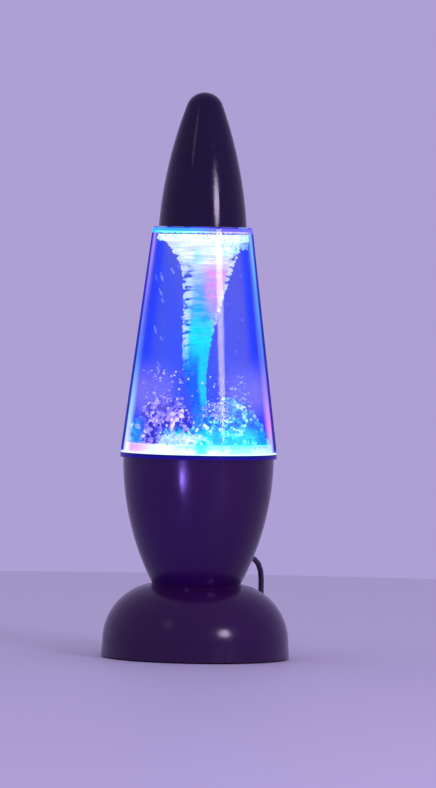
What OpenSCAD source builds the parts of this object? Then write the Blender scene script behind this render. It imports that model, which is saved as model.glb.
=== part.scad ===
// Tornado lamp: a whirl of lit water in a tapered clear vessel, on an egg cup base with a bullet cap.
// Millimetres, +Z up. The origin is on the lamp's axis at the table, and -Y is the front.

/* [Foot] */
// Radius of the foot at its lower edge
foot_r = 56.7; // [50:0.1:64]
// Radius where the skirt turns into the dome
skirt_r = 56; // [49:0.1:63]
// Height where the skirt turns into the dome
skirt_h = 10; // [6:0.5:14]
// Radius of the dome's flat deck, at the waist
waist_r = 27.2; // [25:0.1:31]
// Height of the deck above the table
foot_h = 44.6; // [40:0.1:50]
// Wall of the foot and the cup
wall = 2.4; // [1.8:0.1:3]
// Thickness of the deck
deck_t = 3; // [2:0.1:4]
// Gap between the foot's lower edge and the table
lip = 0.8; // [0.4:0.1:2]
// Thickness of the base plate
plate_t = 2.5; // [2:0.1:4]
// How far the base plate sits inside the foot's lower edge
plate_sink = 0.8; // [0.4:0.1:2]
// Distance of the base screws from the axis
base_screw_at = 43; // [40:0.5:44]
// Radius of a rubber pad
pad_r = 6; // [4:0.5:8]
// Distance of the pads from the axis
pad_at = 43; // [38:0.5:44]
// Depth of a pad's pocket in the base plate
pad_pocket = 0.8; // [0.4:0.1:1.2]

/* [Cup] */
// Radius of the cup's rim
cup_top_r = 45.3; // [43:0.1:50]
// Radius of the cup at the waist
cup_bot_r = 26.6; // [25:0.1:29]
// Height of the cup
cup_h = 75.9; // [70:0.1:90]
// Thickness of the cup's floor
cup_floor_t = 3; // [2:0.1:4]
// Radius of the spigot that centres the cup in the deck
spigot_r = 14; // [12.5:0.1:15]
// Length of that spigot below the deck's top
spigot_h = 4.5; // [3.5:0.1:6]
// Distance of the waist screws from the axis
waist_screw_at = 19.6; // [19:0.1:20.5]
// Height of the waist screws' bosses above the cup's floor
waist_boss_h = 8; // [6:0.5:12]

/* [Light floor] */
// Height of the flange that lies on the cup's rim
flange_h = 3; // [2:0.1:5]
// Height of the step that fills the vessel's mouth, above the flange
step_h = 5.5; // [4.5:0.1:9]
// Thickness left under the impeller's well
web_t = 4; // [3:0.1:5]
// Depth of the skirt inside the cup's mouth
floor_skirt_h = 6; // [4:0.5:9]
// Wall of that skirt
floor_skirt_t = 2.2; // [1.5:0.1:3]
// Thickness of the gasket under the vessel
gasket_t = 0.8; // [0.5:0.1:1.5]

/* [Vessel] */
// Radius of the vessel's foot
vessel_bot_r = 47; // [45.5:0.1:50]
// Radius of the vessel's top
vessel_top_r = 30; // [28.5:0.1:34]
// Height of the vessel from its foot to its top plate
vessel_h = 134.7; // [120:0.1:150]
// Wall of the vessel
vessel_wall = 2.5; // [2:0.1:3]
// Thickness of the top plate
top_t = 2.5; // [2:0.1:4]
// Chamfer round the top plate
top_chamfer = 0.8; // [0.2:0.1:1.5]
// Radius of the ring that the cap grips
ring_r = 21.5; // [19:0.1:22]
// Wall of that ring
ring_t = 2.2; // [1.5:0.1:3]
// Height of that ring
ring_h = 8.5; // [7:0.1:11]
// Radius of the filler bore
bore_r = 8; // [6:0.1:9]
// Wall of the filler neck
neck_t = 3; // [2:0.1:4]
// Height of the filler neck
neck_h = 11; // [9:0.1:14]

/* [Cap and stopper] */
// Radius of the cap's mouth
cap_r = 26.5; // [25.5:0.1:28]
// Height of the cap
cap_h = 80.7; // [74:0.1:95]
// Radius of the cap's rounded tip
tip_r = 11.4; // [9:0.1:13]
// Lean of the cap's wall at its mouth, in degrees
cap_lean = 4; // [2:0.1:5]
// Wall of the cap
cap_wall = 2.2; // [1.6:0.1:3]
// Height of the cap's inner grip
grip_h = 5.5; // [4:0.1:8]
// Depth of the grip inside the cap's mouth
grip_in = 2; // [1:0.1:3]
// Length of the stopper's stem
stem_h = 9; // [6:0.5:11]
// Overhang of the stopper's head past the bore
head_over = 2.8; // [2:0.1:3.5]
// Thickness of the stopper's head
head_t = 2.5; // [2:0.1:4]
// Height of the stopper's finger grip
finger_h = 7; // [5:0.5:9]
// Thickness of the stopper's finger grip
finger_t = 3; // [2:0.1:5]
// Thickness of the stopper's sealing ring
washer_t = 1; // [0.6:0.1:2]

/* [Water and whirl] */
// Gap between the water's edge and the vessel's top plate
air_gap = 6; // [4:0.5:12]
// Gap between the whirl's rim and the top plate
rim_gap = 1.9; // [1:0.1:3]
// Radius of the whirl's foot
whirl_foot_r = 3.6; // [3:0.1:5]
// Radius that the straight part of the whirl grows to
whirl_neck_r = 14.6; // [12:0.1:15]
// Radius that the flare adds at the rim
whirl_flare = 12.4; // [9:0.1:12.4]
// Height over which the flare fades
whirl_flare_h = 13; // [9:0.5:16]
// Sideways sway of the whirl
whirl_sway = 3; // [0:0.1:4]
// Height of one full sway
whirl_wave = 125; // [90:1:160]
// Height of the ridges, as a share of the radius
whirl_ridge = 0.07; // [0.02:0.01:0.1]
// Height from one ridge to the next
whirl_step = 7; // [6:0.5:10]
// Height that the heaps of foam are measured against
foam_h = 30; // [24:1:36]
// Height of the foam's bed on the floor
foam_bed = 5; // [3:0.5:7]
// Water left between the foam and the vessel's wall
foam_gap = 1.8; // [1.2:0.1:3]
// Water left between the foam and the impeller
foam_well = 1.2; // [1:0.1:3]

/* [Impeller and drive] */
// Radius of the impeller
impeller_r = 15; // [13:0.5:16]
// Thickness of the impeller's disc
impeller_t = 4.5; // [4:0.1:6]
// Height of the vanes
vane_h = 7; // [5:0.5:9]
// Thickness of a vane
vane_t = 1.4; // [1:0.1:2]
// Number of vanes
vanes = 6; // [4:1:8]
// Radius of a vane's curve
vane_curve = 12; // [10:0.5:16]
// Radius of the impeller's hub
hub_r = 4.5; // [4:0.1:5]
// Radius of the impeller's spindle
spindle_r = 1.5; // [1:0.1:2]
// Height of the cap that keeps the impeller on
keeper_h = 2.4; // [2:0.1:3]
// Radius of that cap
keeper_r = 3; // [2.6:0.1:3.4]
// Room between the impeller and its well
well_gap = 2.5; // [1.5:0.1:3]
// Distance of the magnets from the axis
magnet_at = 9; // [8.6:0.1:9.2]
// Radius of an impeller magnet
imp_magnet_r = 3.5; // [2.5:0.1:3.6]
// Thickness of an impeller magnet
imp_magnet_t = 2.5; // [2:0.1:3]
// Radius of a drive magnet
drive_magnet_r = 4; // [3:0.1:4]
// Thickness of a drive magnet
drive_magnet_t = 3; // [2:0.1:3.5]
// Radius of the drive disc
drive_r = 14; // [13.6:0.1:15]
// Thickness of the drive disc
drive_t = 5.5; // [4.5:0.1:7]
// Air between the drive disc and the light floor
drive_gap = 1.2; // [0.8:0.1:2]
// Radius of the motor
motor_r = 12.2; // [11:0.1:13]
// Length of the motor's can
motor_h = 26; // [22:0.5:28]
// Thickness of the motor's end cap
motor_end_t = 2; // [1.5:0.1:3]
// Radius of the motor's shaft
shaft_r = 1; // [0.8:0.1:1.2]
// Radius of the motor's front boss
boss_r = 3; // [2.5:0.1:3.5]
// Depth of the motor bracket below the cup's rim
bracket_drop = 24.5; // [23:0.5:28]
// Thickness of the motor bracket
bracket_t = 3; // [2.4:0.1:4]
// Distance of the motor's screws from the axis
motor_screw_at = 8.5; // [7:0.1:9]

/* [Light board] */
// Outer radius of the light board
board_r = 34; // [32:0.5:36]
// Inner radius of the light board
board_bore = 16.5; // [16:0.1:18]
// Thickness of the light board
board_t = 1.6; // [1:0.1:2]
// Height of the posts under the light board
post_h = 5; // [4:0.1:6]
// Distance of the posts from the axis
post_at = 29; // [28:0.5:30]
// Number of lights
lights = 6; // [6:3:9]
// Distance of the lights from the axis
light_at = 25; // [22:0.5:26]
// Radius of a light
light_r = 2.5; // [1.5:0.1:2.5]
// Height of a light below its dome
light_h = 5.6; // [4:0.1:6]

/* [Switch] */
// Height of the switch above the table
switch_z = 14; // [13:0.5:16]
// Depth of the switch's seat in the foot's wall
switch_sink = 2.2; // [2:0.1:2.6]
// Radius of the switch's flange
switch_flange_r = 7.5; // [7:0.1:8]
// Thickness of the switch's flange
switch_flange_t = 1.2; // [0.8:0.1:1.6]
// Radius of the switch's barrel
switch_barrel_r = 5.8; // [5.5:0.1:6.2]
// Radius of the button
button_r = 4.25; // [3.5:0.05:4.5]
// How far the button stands out of the seat
button_out = 2.6; // [2.4:0.1:2.8]
// Travel of the button
button_travel = 2; // [1.5:0.1:2.2]
// Thickness of the wall at the switch's seat
switch_panel_t = 3; // [2.4:0.1:4]

/* [Cord] */
// Diameter of the cord
cord_d = 3.4; // [3:0.1:3.4]
// Radius of the strain relief's flange
boot_flange_r = 5; // [4.5:0.1:5.5]
// Thickness of the strain relief's flange
boot_flange_t = 1.6; // [1.2:0.1:2.5]
// Radius of the strain relief's neck in the cup's wall
boot_neck_r = 3.4; // [3:0.1:4]
// Gap between the coil's turns
turn_gap = 0.5; // [0.45:0.05:0.8]
// Thickness of the coil's tie
tie_t = 0.6; // [0.4:0.1:0.6]
// Width of the coil's tie
tie_w = 7; // [5:0.5:10]
// Width of the plug's grip
plug_w = 15; // [14:0.5:17]
// Height of the plug's grip
plug_t = 8; // [7:0.1:8]
// Length of the plug's grip
plug_l = 24; // [20:0.5:28]
// Width of the plug's metal shell
shell_w = 12; // [11.8:0.1:12.2]
// Height of the plug's metal shell
shell_t = 4.5; // [4.4:0.1:4.6]
// Length of the plug's metal shell
shell_l = 15; // [12:0.5:16]

/* [Fasteners and clearances] */
// Radius of a housing screw
screw_r = 1.45; // [1.2:0.05:1.6]
// Radius of a housing screw's head
screw_head_r = 2.8; // [2.4:0.1:3]
// Height of a housing screw's head
screw_head_h = 1.7; // [1.2:0.1:1.7]
// Wall round a housing screw
screw_wall = 2.5; // [2:0.1:2.5]
// Length of a housing screw in the boss that it bites into
screw_bite = 8; // [6:0.5:9]
// Room under the point of a housing screw
screw_room = 2; // [1:0.5:3]
// Radius of a motor screw
motor_screw_r = 0.95; // [0.8:0.05:1.2]
// Radial clearance of a shaft in its bore
run_fit = 0.06; // [0.02:0.01:0.1]
// Clearance between parts that are pressed together
press_fit = 0.02; // [0.01:0.01:0.05]
// Clearance between parts that are set into each other
seat_fit = 0.15; // [0.1:0.05:0.3]
// Clearance between the water and what holds it
wet_fit = 0.3; // [0.2:0.05:0.5]
// Gap under the cap and under moving discs
float_gap = 0.3; // [0.2:0.05:0.5]

/* [Hidden] */
$fn = 72;
// Steps of the wide arcs
wide_fn = 720;
foam_fn = 120;

// Radius of an arc that starts upright and moves in by dr over the height h
function arc_r(dr, h) = (dr * dr + h * h) / (2 * dr);
function unit(v) = v / norm(v);
function turned(v, a) = [v[0] * cos(a) - v[1] * sin(a), v[0] * sin(a) + v[1] * cos(a)];

// Levels from the table up
z_plate = lip + plate_sink;
z_plate_top = z_plate + plate_t;
z_rim = foot_h + cup_h;
z_flange = z_rim + flange_h;
z_vessel = z_flange + gasket_t;
z_step = z_flange + step_h;
z_well = z_rim + web_t;
z_top = z_vessel + vessel_h;
z_cap = z_top + float_gap;
z_impeller = z_well + float_gap;
z_vanes = z_impeller + impeller_t;
z_hub = z_vanes + vane_h;
z_keeper = z_hub + float_gap;
z_keeper_top = z_keeper + keeper_h;
z_whirl = z_keeper_top + 2 * float_gap;
z_whirl_top = z_top - top_t - rim_gap;
z_water = z_step + wet_fit;
z_water_top = z_top - top_t - air_gap;
z_drive_top = z_rim - drive_gap;
z_drive = z_drive_top - drive_t;
z_bracket = z_rim - bracket_drop;
z_bracket_top = z_bracket + bracket_t;
z_board = z_bracket_top + post_h;
z_board_top = z_board + board_t;
z_motor = z_bracket - motor_h;
z_motor_end = z_motor - motor_end_t;
z_neck = z_top + neck_h;
z_head = z_neck + washer_t;

// Profiles of the foot, the cup and the vessel
foot_arc = arc_r(skirt_r - waist_r, foot_h - skirt_h);
foot_cx = skirt_r - foot_arc;
foot_lean = (foot_r - skirt_r) / (skirt_h - lip);
cup_arc = arc_r(cup_top_r - cup_bot_r, cup_h);
cup_cx = cup_top_r - cup_arc;
vessel_lean = (vessel_bot_r - vessel_top_r) / vessel_h;
function foot_rad(z, off = 0) =
    z < skirt_h ? skirt_r + foot_lean * (skirt_h - z) - off
    : foot_cx + sqrt(pow(foot_arc - off, 2) - pow(z - skirt_h, 2));
function cup_rad(z, off = 0) = cup_cx + sqrt(pow(cup_arc - off, 2) - pow(z_rim - z, 2));
function vessel_in(z) = vessel_bot_r - vessel_lean * (z - z_vessel) - vessel_wall;

// The cap's side is one arc that runs tangent into the tip's sphere
z_tip = z_cap + cap_h - tip_r;
tip_rise = z_tip - z_cap;
cap_arc = (cap_r * cap_r + tip_rise * tip_rise - tip_r * tip_r)
    / (2 * (cap_r * cos(cap_lean) - tip_rise * sin(cap_lean) - tip_r));
cap_c = [cap_r - cap_arc * cos(cap_lean), z_cap - cap_arc * sin(cap_lean)];
tip_dir = unit([0, z_tip] - cap_c);

// Radius of the whirl, its sway and the bore that it needs in the water
function whirl_rad(z) =
    whirl_foot_r + (whirl_neck_r - whirl_foot_r) * (z - z_whirl) / (z_whirl_top - z_whirl)
    + whirl_flare * exp((z - z_whirl_top) / whirl_flare_h);
function whirl_fade(z, low, high) = max(0, min(1, (z - z_whirl) / low, (z_whirl_top - z) / high));
whirl_mid = z_whirl + 0.59 * (z_whirl_top - z_whirl);
function whirl_axis(z) =
    whirl_sway * whirl_fade(z, 25, 14)
    * [sin(360 * (z - whirl_mid) / whirl_wave), cos(360 * (z - whirl_mid) / whirl_wave)];
function whirl_bore(z) =
    whirl_rad(z) * (1 + whirl_ridge) + whirl_sway * whirl_fade(z, 25, 14) + wet_fit;

// The foam lies in a ring round the impeller, heaped up at both sides and less at the back
foam_in = impeller_r + well_gap / 2 + foam_well;
foam_out = vessel_in(z_water + foam_h / 4) - foam_gap;
foam_span = foam_out - foam_in;
function heap(a) = min(1,
    pow(max(0, cos(a - 205)), 2) + 0.9 * pow(max(0, cos(a - 335)), 3) + 0.35 * pow(max(0, cos(a - 95)), 2));
// Direction, distance, height and radius of each lump, from the outer tier to the top one
foam_lumps = concat(
    [for (i = [0:11]) let (a = 30 * i + 10) [a, 0.66, 0.17 + 0.13 * heap(a), 0.27 + 0.04 * sin(130 * i)]],
    [for (i = [0:8]) let (a = 40 * i + 4) [a, 0.40, 0.2 + 0.34 * heap(a), 0.29 + 0.1 * heap(a)]],
    [for (a = [196, 222, 326, 350]) [a, 0.18, 0.72 - 0.04 * cos(3 * a), 0.25]]
);

// Bosses, bracket and light floor follow the wall that they stand on
bracket_screw_at = cup_rad(z_bracket, wall) - screw_r - screw_wall + 0.6;
bracket_r = cup_rad(z_bracket, wall) - 0.6;
floor_skirt_r = cup_rad(z_rim - floor_skirt_h, wall) - seat_fit;
plate_r = min(foot_rad(z_plate, wall), foot_rad(z_plate_top, wall)) - seat_fit;
well_r = impeller_r + well_gap;
spindle_z = z_rim + web_t / 3;
seat_y = foot_rad(switch_z) - switch_sink;
switch_barrel_l = switch_panel_t + 6;
switch_block_l = 6;
switch_block_w = 2 * switch_barrel_r + 1.4;
wire_r = 1;
wire_at = 22;
wire_hole_r = 3.5;

// Route of the cord from the strain relief to its coil, and from the coil to its plug
cord_route = [
    [30, 48, 58], [32, 51.2, 58], [35, 56, 57], [37.5, 60, 54], [39, 62.5, 49.5], [39.5, 63.5, 44],
    [39.5, 64, 36], [39.5, 64, 28], [39.5, 64.5, 20], [40, 66, 13.5], [40.5, 69.5, 8], [41, 74.5, 4.5],
    [41.5, 80.5, 2.8], [42, 85, 2.6], [42, 88.6, 2.6]
];
tail_route = [[11.6, 119, 6.5], [9.5, 119, 6.5], [6, 119, 5.8], [3, 119, 4.8], [0, 119, 4.2], [-2, 119, 4.2]];
coil_c = [15, 92];
coil_r = 27;
coil_z = 2.6;
coil_turns = 7.25;
cord_z = cord_route[0][2];
cord_az = atan2(cord_route[0][1], cord_route[0][0]);
boot_tip = norm([cord_route[0][0], cord_route[0][1]]);
boot_boss_r = boot_flange_r + 1;
boot_seat = cup_rad(cord_z + boot_boss_r) + 0.4;
boot_in = cup_rad(cord_z - boot_neck_r, wall) - 1.5;
plug_taper_l = 8;

// A coil turns inwards, climbs a layer in half a turn and turns outwards again
coil_step = cord_d + turn_gap;
coil_run = (coil_turns - 0.5) / 2;
coil_in = coil_r - coil_run * coil_step;
function coil_rad(t) =
    t < coil_run ? coil_r - t * coil_step
    : t < coil_run + 0.25 ? coil_in - (t - coil_run) * coil_step
    : coil_in + (t - coil_run - 0.5) * coil_step;
function coil_rise(t) = coil_step * max(0, min(1, (t - coil_run) / 0.5));
function coil_at(t) =
    [coil_c[0] + coil_rad(t) * cos(360 * t), coil_c[1] + coil_rad(t) * sin(360 * t), coil_z + coil_rise(t)];
coil_rings = round(24 * coil_turns);
coil_path = concat(
    [coil_at(0) - [0, cord_d, 0]],
    [for (i = [0:coil_rings]) coil_at(coil_turns * i / coil_rings)],
    [coil_at(coil_turns) - [cord_d, 0, 0]]
);
coil_gap = min([
    for (i = [0:len(coil_path) - 10])
        for (j = [i + 9:len(coil_path) - 1]) norm(coil_path[i] - coil_path[j])
]) - cord_d;
echo(coil_gap = coil_gap);

// A tube through a list of points, as one closed surface of triangles
function tangent(p, i) =
    unit(i == 0 ? p[1] - p[0] : i == len(p) - 1 ? p[i] - p[i - 1] : unit(p[i + 1] - p[i]) + unit(p[i] - p[i - 1]));
function carried(p, i, n) =
    let (t = tangent(p, i), m = unit(n - (n * t) * t))
        i == len(p) - 1 ? [m] : concat([m], carried(p, i + 1, m));
function ring_faces(rings, sides) = concat(
    [for (j = [1:sides - 2]) [0, j, j + 1]],
    [
        for (i = [0:rings - 2])
            for (j = [0:sides - 1])
                for (f = [[[0, 0], [1, 0], [1, 1]], [[0, 0], [1, 1], [0, 1]]])
                    [for (k = f) (i + k[0]) * sides + (j + k[1]) % sides]
    ],
    [for (j = [1:sides - 2]) let (e = (rings - 1) * sides) [e, e + j + 1, e + j]]
);
module tube(path, r, sides, side_dir) {
    normals = carried(path, 0, side_dir);
    points = [
        for (i = [0:len(path) - 1])
            for (j = [0:sides - 1])
                let (a = 360 * (j + 0.5) / sides, n = normals[i])
                    path[i] + r * (cos(a) * n + sin(a) * cross(tangent(path, i), n))
    ];
    polyhedron(points, ring_faces(len(path), sides), convexity = 12);
}

// A revolved profile
module ring(r_in, r_out, z, h) {
    translate([0, 0, z]) difference() {
        cylinder(r = r_out, h = h);
        translate([0, 0, -1]) cylinder(r = r_in, h = h + 2);
    }
}
module disc(r, z, h) {
    translate([0, 0, z]) cylinder(r = r, h = h);
}
module around(count, at, start = 0) {
    for (i = [0:count - 1]) rotate([0, 0, start + 360 * i / count]) translate([at, 0, 0]) children();
}
// Along +Y at the switch, from the depth y1 to the depth y2 measured out from its seat
module at_switch(y1) {
    translate([0, seat_y + y1, switch_z]) rotate([-90, 0, 0]) children();
}
// Along the cord's exit, at a distance from the axis
module at_exit(d) {
    rotate([0, 0, cord_az]) translate([d, 0, cord_z]) rotate([0, 90, 0]) children();
}
module pan_screw(z, up, length) {
    translate([0, 0, z]) mirror([0, 0, up ? 0 : 1]) {
        cylinder(r = screw_r, h = length);
        translate([0, 0, -screw_head_h]) cylinder(r = screw_head_r, h = screw_head_h);
    }
}

module foot_outline(off, low, high) {
    polygon([
        [0, low], [skirt_r + foot_lean * (skirt_h - low) - off, low], [skirt_r - off, skirt_h], [0, skirt_h]
    ]);
    intersection() {
        translate([foot_cx, skirt_h]) circle(r = foot_arc - off, $fn = wide_fn);
        translate([0, skirt_h]) square([skirt_r, high - skirt_h]);
    }
    translate([0, skirt_h]) square([foot_cx, high - skirt_h]);
}
module foot() {
    color([0.1, 0.05, 0.14]) difference() {
        union() {
            rotate_extrude() difference() {
                foot_outline(0, lip, foot_h);
                foot_outline(wall, lip - 1, foot_h - deck_t);
            }
            intersection() {
                union() {
                    around(4, base_screw_at, 45) disc(screw_r + screw_wall, z_plate_top, foot_h);
                    at_switch(-switch_panel_t)
                        cylinder(r = switch_flange_r + 2, h = switch_panel_t + switch_sink);
                }
                rotate_extrude() foot_outline(wall / 2, lip, foot_h - deck_t / 2);
            }
        }
        disc(spigot_r + seat_fit, foot_h - deck_t - 1, deck_t + 2);
        around(3, waist_screw_at) disc(screw_r + seat_fit, foot_h - deck_t - 1, deck_t + 2);
        around(4, base_screw_at, 45) disc(screw_r + press_fit, z_plate_top - 1, screw_bite + screw_room + 1);
        at_switch(0) cylinder(r = switch_flange_r + seat_fit, h = switch_sink + 5);
        at_switch(-switch_panel_t - 5) cylinder(r = switch_barrel_r + seat_fit, h = switch_panel_t + 10);
    }
}

module base_plate() {
    color([0.09, 0.05, 0.12]) difference() {
        disc(plate_r, z_plate, plate_t);
        around(4, base_screw_at, 45) {
            disc(screw_r + seat_fit, z_plate - 1, plate_t + 2);
            disc(screw_head_r + seat_fit, z_plate - 1, screw_head_h + 1);
        }
        around(4, pad_at) disc(pad_r + seat_fit, z_plate - 1, pad_pocket + 1);
    }
}

module base_screws() {
    color("silver") around(4, base_screw_at, 45)
        pan_screw(z_plate + screw_head_h, true, plate_t - screw_head_h + screw_bite);
}

module pads() {
    color([0.12, 0.12, 0.12]) around(4, pad_at) disc(pad_r, 0, z_plate + pad_pocket);
}

module cup_outline(off, low, high) {
    intersection() {
        translate([cup_cx, z_rim]) circle(r = cup_arc - off, $fn = wide_fn);
        translate([0, low]) square([cup_top_r, high - low]);
    }
}
module cup() {
    color([0.1, 0.05, 0.14]) difference() {
        union() {
            rotate_extrude() difference() {
                cup_outline(0, foot_h, z_rim);
                cup_outline(wall, foot_h + cup_floor_t, z_rim + 1);
            }
            ring(spigot_r - wall, spigot_r, foot_h - spigot_h, spigot_h + cup_floor_t);
            around(3, waist_screw_at) disc(screw_r + screw_wall - 0.4, foot_h, cup_floor_t + waist_boss_h);
            intersection() {
                around(3, bracket_screw_at) disc(screw_r + screw_wall, foot_h + 1, z_bracket - foot_h - 1);
                rotate_extrude() cup_outline(wall / 2, foot_h, z_rim - 1);
            }
            difference() {
                at_exit(boot_in) cylinder(r = boot_boss_r, h = boot_seat - boot_in);
                rotate_extrude() cup_outline(wall / 2, foot_h, z_rim);
            }
        }
        disc(spigot_r - wall, foot_h - 1, cup_floor_t + 2);
        around(3, waist_screw_at) disc(screw_r + press_fit, foot_h - 1, screw_bite + screw_room / 2 + 1);
        around(3, bracket_screw_at)
            disc(screw_r + press_fit, z_bracket - screw_bite - screw_room, screw_bite + screw_room + 1);
        at_exit(boot_in - 5) cylinder(r = boot_neck_r + seat_fit, h = boot_seat - boot_in + 10);
    }
}

module waist_screws() {
    color("silver") around(3, waist_screw_at) pan_screw(foot_h - deck_t, true, deck_t + screw_bite);
}

module light_floor() {
    color([0.85, 0.92, 1, 0.7]) difference() {
        rotate_extrude() polygon([
            [0, z_rim], [floor_skirt_r - floor_skirt_t, z_rim],
            [floor_skirt_r - floor_skirt_t, z_rim - floor_skirt_h], [floor_skirt_r, z_rim - floor_skirt_h],
            [floor_skirt_r, z_rim], [vessel_bot_r, z_rim], [vessel_bot_r, z_flange],
            [vessel_in(z_vessel) - seat_fit, z_flange], [vessel_in(z_vessel) - seat_fit, z_vessel],
            [vessel_in(z_step) - seat_fit, z_step], [well_r, z_step], [well_r, z_well], [0, z_well]
        ]);
        disc(spindle_r + press_fit, spindle_z, web_t);
    }
}

module gasket() {
    color([0.3, 0.3, 0.35]) ring(vessel_in(z_vessel), vessel_bot_r - 0.4, z_flange, gasket_t);
}

module vessel() {
    color([0.75, 0.85, 1, 0.35]) rotate_extrude() polygon([
        [vessel_in(z_vessel), z_vessel], [vessel_bot_r, z_vessel],
        [vessel_top_r + vessel_lean * top_chamfer, z_top - top_chamfer], [vessel_top_r - top_chamfer, z_top],
        [ring_r, z_top], [ring_r, z_top + ring_h], [ring_r - ring_t, z_top + ring_h], [ring_r - ring_t, z_top],
        [bore_r + neck_t, z_top], [bore_r + neck_t, z_neck], [bore_r, z_neck], [bore_r, z_top - top_t],
        [vessel_in(z_top - top_t), z_top - top_t]
    ]);
}

module water() {
    steps = 22;
    cavity = z_hub + 2 * float_gap;
    color([0.31, 0.35, 1, 0.5]) difference() {
        rotate_extrude() polygon(concat(
            [
                [impeller_r + well_gap / 2, cavity], [impeller_r + well_gap / 2, z_water],
                [vessel_in(z_water) - wet_fit, z_water], [vessel_in(z_water_top) - wet_fit, z_water_top]
            ],
            [
                for (i = [steps:-1:0])
                    let (z = cavity + (z_water_top - cavity) * i / steps) [max(whirl_bore(z), keeper_r + 1), z]
            ]
        ));
        foam_body(wet_fit / 2, z_water - foam_bed);
    }
}

// The foam: a bed with lumps on it, grown by off and cut flat at the floor
module foam_body(off, floor_z) {
    slope = foam_bed * 0.6;
    difference() {
        union() {
            rotate_extrude() polygon([
                [foam_in - off, floor_z], [foam_out + off, floor_z], [foam_out + off, z_water + foam_bed - slope],
                [foam_out - slope, z_water + foam_bed + off], [foam_in + slope, z_water + foam_bed + off],
                [foam_in - off, z_water + foam_bed - slope]
            ]);
            for (l = foam_lumps)
                rotate(l[0]) translate([foam_in + l[1] * foam_span, 0, z_water + l[2] * foam_h])
                    sphere(r = l[3] * foam_span + off, $fn = foam_fn);
        }
        translate([0, 0, floor_z - foam_h]) cylinder(r = 2 * foam_out, h = foam_h);
    }
}

module foam() {
    color([0.75, 0.85, 1]) foam_body(0, z_water);
}

// The whirl: rings that sway off the axis, with two ridges that climb round it
module whirl() {
    sides = 20;
    rings = round((z_whirl_top - z_whirl) / whirl_step * 4);
    points = [
        for (i = [0:rings])
            let (
                z = z_whirl + (z_whirl_top - z_whirl) * i / rings,
                c = whirl_axis(z),
                fade = whirl_fade(z, 4, 10)
            )
            for (j = [0:sides - 1])
                let (
                    a = 360 * j / sides,
                    r = whirl_rad(z) * (1 + whirl_ridge * fade * cos(2 * a - 360 * z / whirl_step))
                )
                [c[0] + r * cos(a), c[1] + r * sin(a), z]
    ];
    color([0.85, 0.93, 1]) polyhedron(points, ring_faces(rings + 1, sides), convexity = 8);
}

// The impeller: a disc with curved vanes round a hub, and two magnet pockets below
module impeller() {
    color("white") difference() {
        union() {
            disc(impeller_r, z_impeller, impeller_t);
            disc(hub_r, z_vanes, vane_h);
            translate([0, 0, z_vanes]) linear_extrude(vane_h) intersection() {
                around(vanes, hub_r - 1) translate([0, vane_curve]) difference() {
                    circle(r = vane_curve);
                    circle(r = vane_curve - vane_t);
                    translate([-3 * vane_curve, -2 * vane_curve]) square([3 * vane_curve, 4 * vane_curve]);
                }
                difference() {
                    circle(r = impeller_r);
                    circle(r = hub_r - 0.5);
                }
            }
        }
        disc(spindle_r + run_fit, z_impeller - 1, impeller_t + vane_h + 2);
        around(2, magnet_at) disc(imp_magnet_r + press_fit, z_impeller - 1, imp_magnet_t + 1);
    }
}

module impeller_magnets() {
    color("silver") around(2, magnet_at) disc(imp_magnet_r, z_impeller, imp_magnet_t);
}

module spindle() {
    color("lightgray") disc(spindle_r, spindle_z, z_keeper_top - keeper_h / 3 - spindle_z);
}

module keeper() {
    color("white") difference() {
        disc(keeper_r, z_keeper, keeper_h);
        disc(spindle_r + press_fit, z_keeper - 1, keeper_h * 2 / 3 + 1);
    }
}

module drive_disc() {
    color([0.92, 0.92, 0.9]) difference() {
        union() {
            disc(drive_r, z_drive, drive_t);
            disc(hub_r, z_drive - 3, 4);
        }
        disc(shaft_r + press_fit, z_drive - 4, drive_t + 5);
        around(2, magnet_at) disc(drive_magnet_r + press_fit, z_drive_top - drive_magnet_t, drive_magnet_t + 1);
    }
}

module drive_magnets() {
    color("silver") around(2, magnet_at) disc(drive_magnet_r, z_drive_top - drive_magnet_t, drive_magnet_t);
}

module motor_shaft() {
    color("lightgray") disc(shaft_r, z_motor + 2, z_drive_top - z_motor - 2.5);
}

module motor_can() {
    color("silver") difference() {
        union() {
            disc(motor_r, z_motor, motor_h);
            disc(boss_r, z_bracket - 1, 2.6);
        }
        disc(shaft_r + run_fit, z_motor + 1.5, motor_h + 5);
        around(2, motor_screw_at, 90) disc(motor_screw_r + press_fit, z_bracket - 3, 4);
    }
}

module motor_end() {
    color([0.15, 0.15, 0.15]) {
        disc(motor_r - 0.8, z_motor_end, motor_end_t);
        disc(motor_r / 3, z_motor_end - 1.2, 2);
    }
}

module motor_terminals() {
    color("goldenrod") around(2, motor_r * 0.6)
        translate([-0.3, -1.2, z_motor_end - 5]) cube([0.6, 2.4, 5]);
}

module motor_screws() {
    color("silver") around(2, motor_screw_at, 90) {
        disc(motor_screw_r, z_bracket - 2.5, bracket_t + 3);
        disc(motor_screw_r * 2, z_bracket_top, 1.3);
    }
}

// The bracket spans the cup, holds the motor by its front and carries the light board on posts
module bracket() {
    color([0.2, 0.2, 0.22]) difference() {
        union() {
            disc(bracket_r, z_bracket, bracket_t);
            ring(motor_r + seat_fit, motor_r + 1.8, z_bracket - 5, 6);
            around(3, post_at, 60) {
                disc(3, z_bracket_top - 1, post_h + 1);
                disc(1.2, z_bracket_top, post_h + board_t + 0.9);
            }
        }
        disc(boss_r + seat_fit, z_bracket - 1, bracket_t + 2);
        around(2, motor_screw_at, 90) disc(motor_screw_r + press_fit, z_bracket - 1, bracket_t + 2);
        around(3, bracket_screw_at) disc(screw_r + seat_fit, z_bracket - 1, bracket_t + 2);
        around(3, wire_at, 60) disc(wire_hole_r, z_bracket - 1, bracket_t + 2);
    }
}

module bracket_screws() {
    color("silver") around(3, bracket_screw_at) pan_screw(z_bracket_top, false, bracket_t + screw_bite);
}

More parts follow.
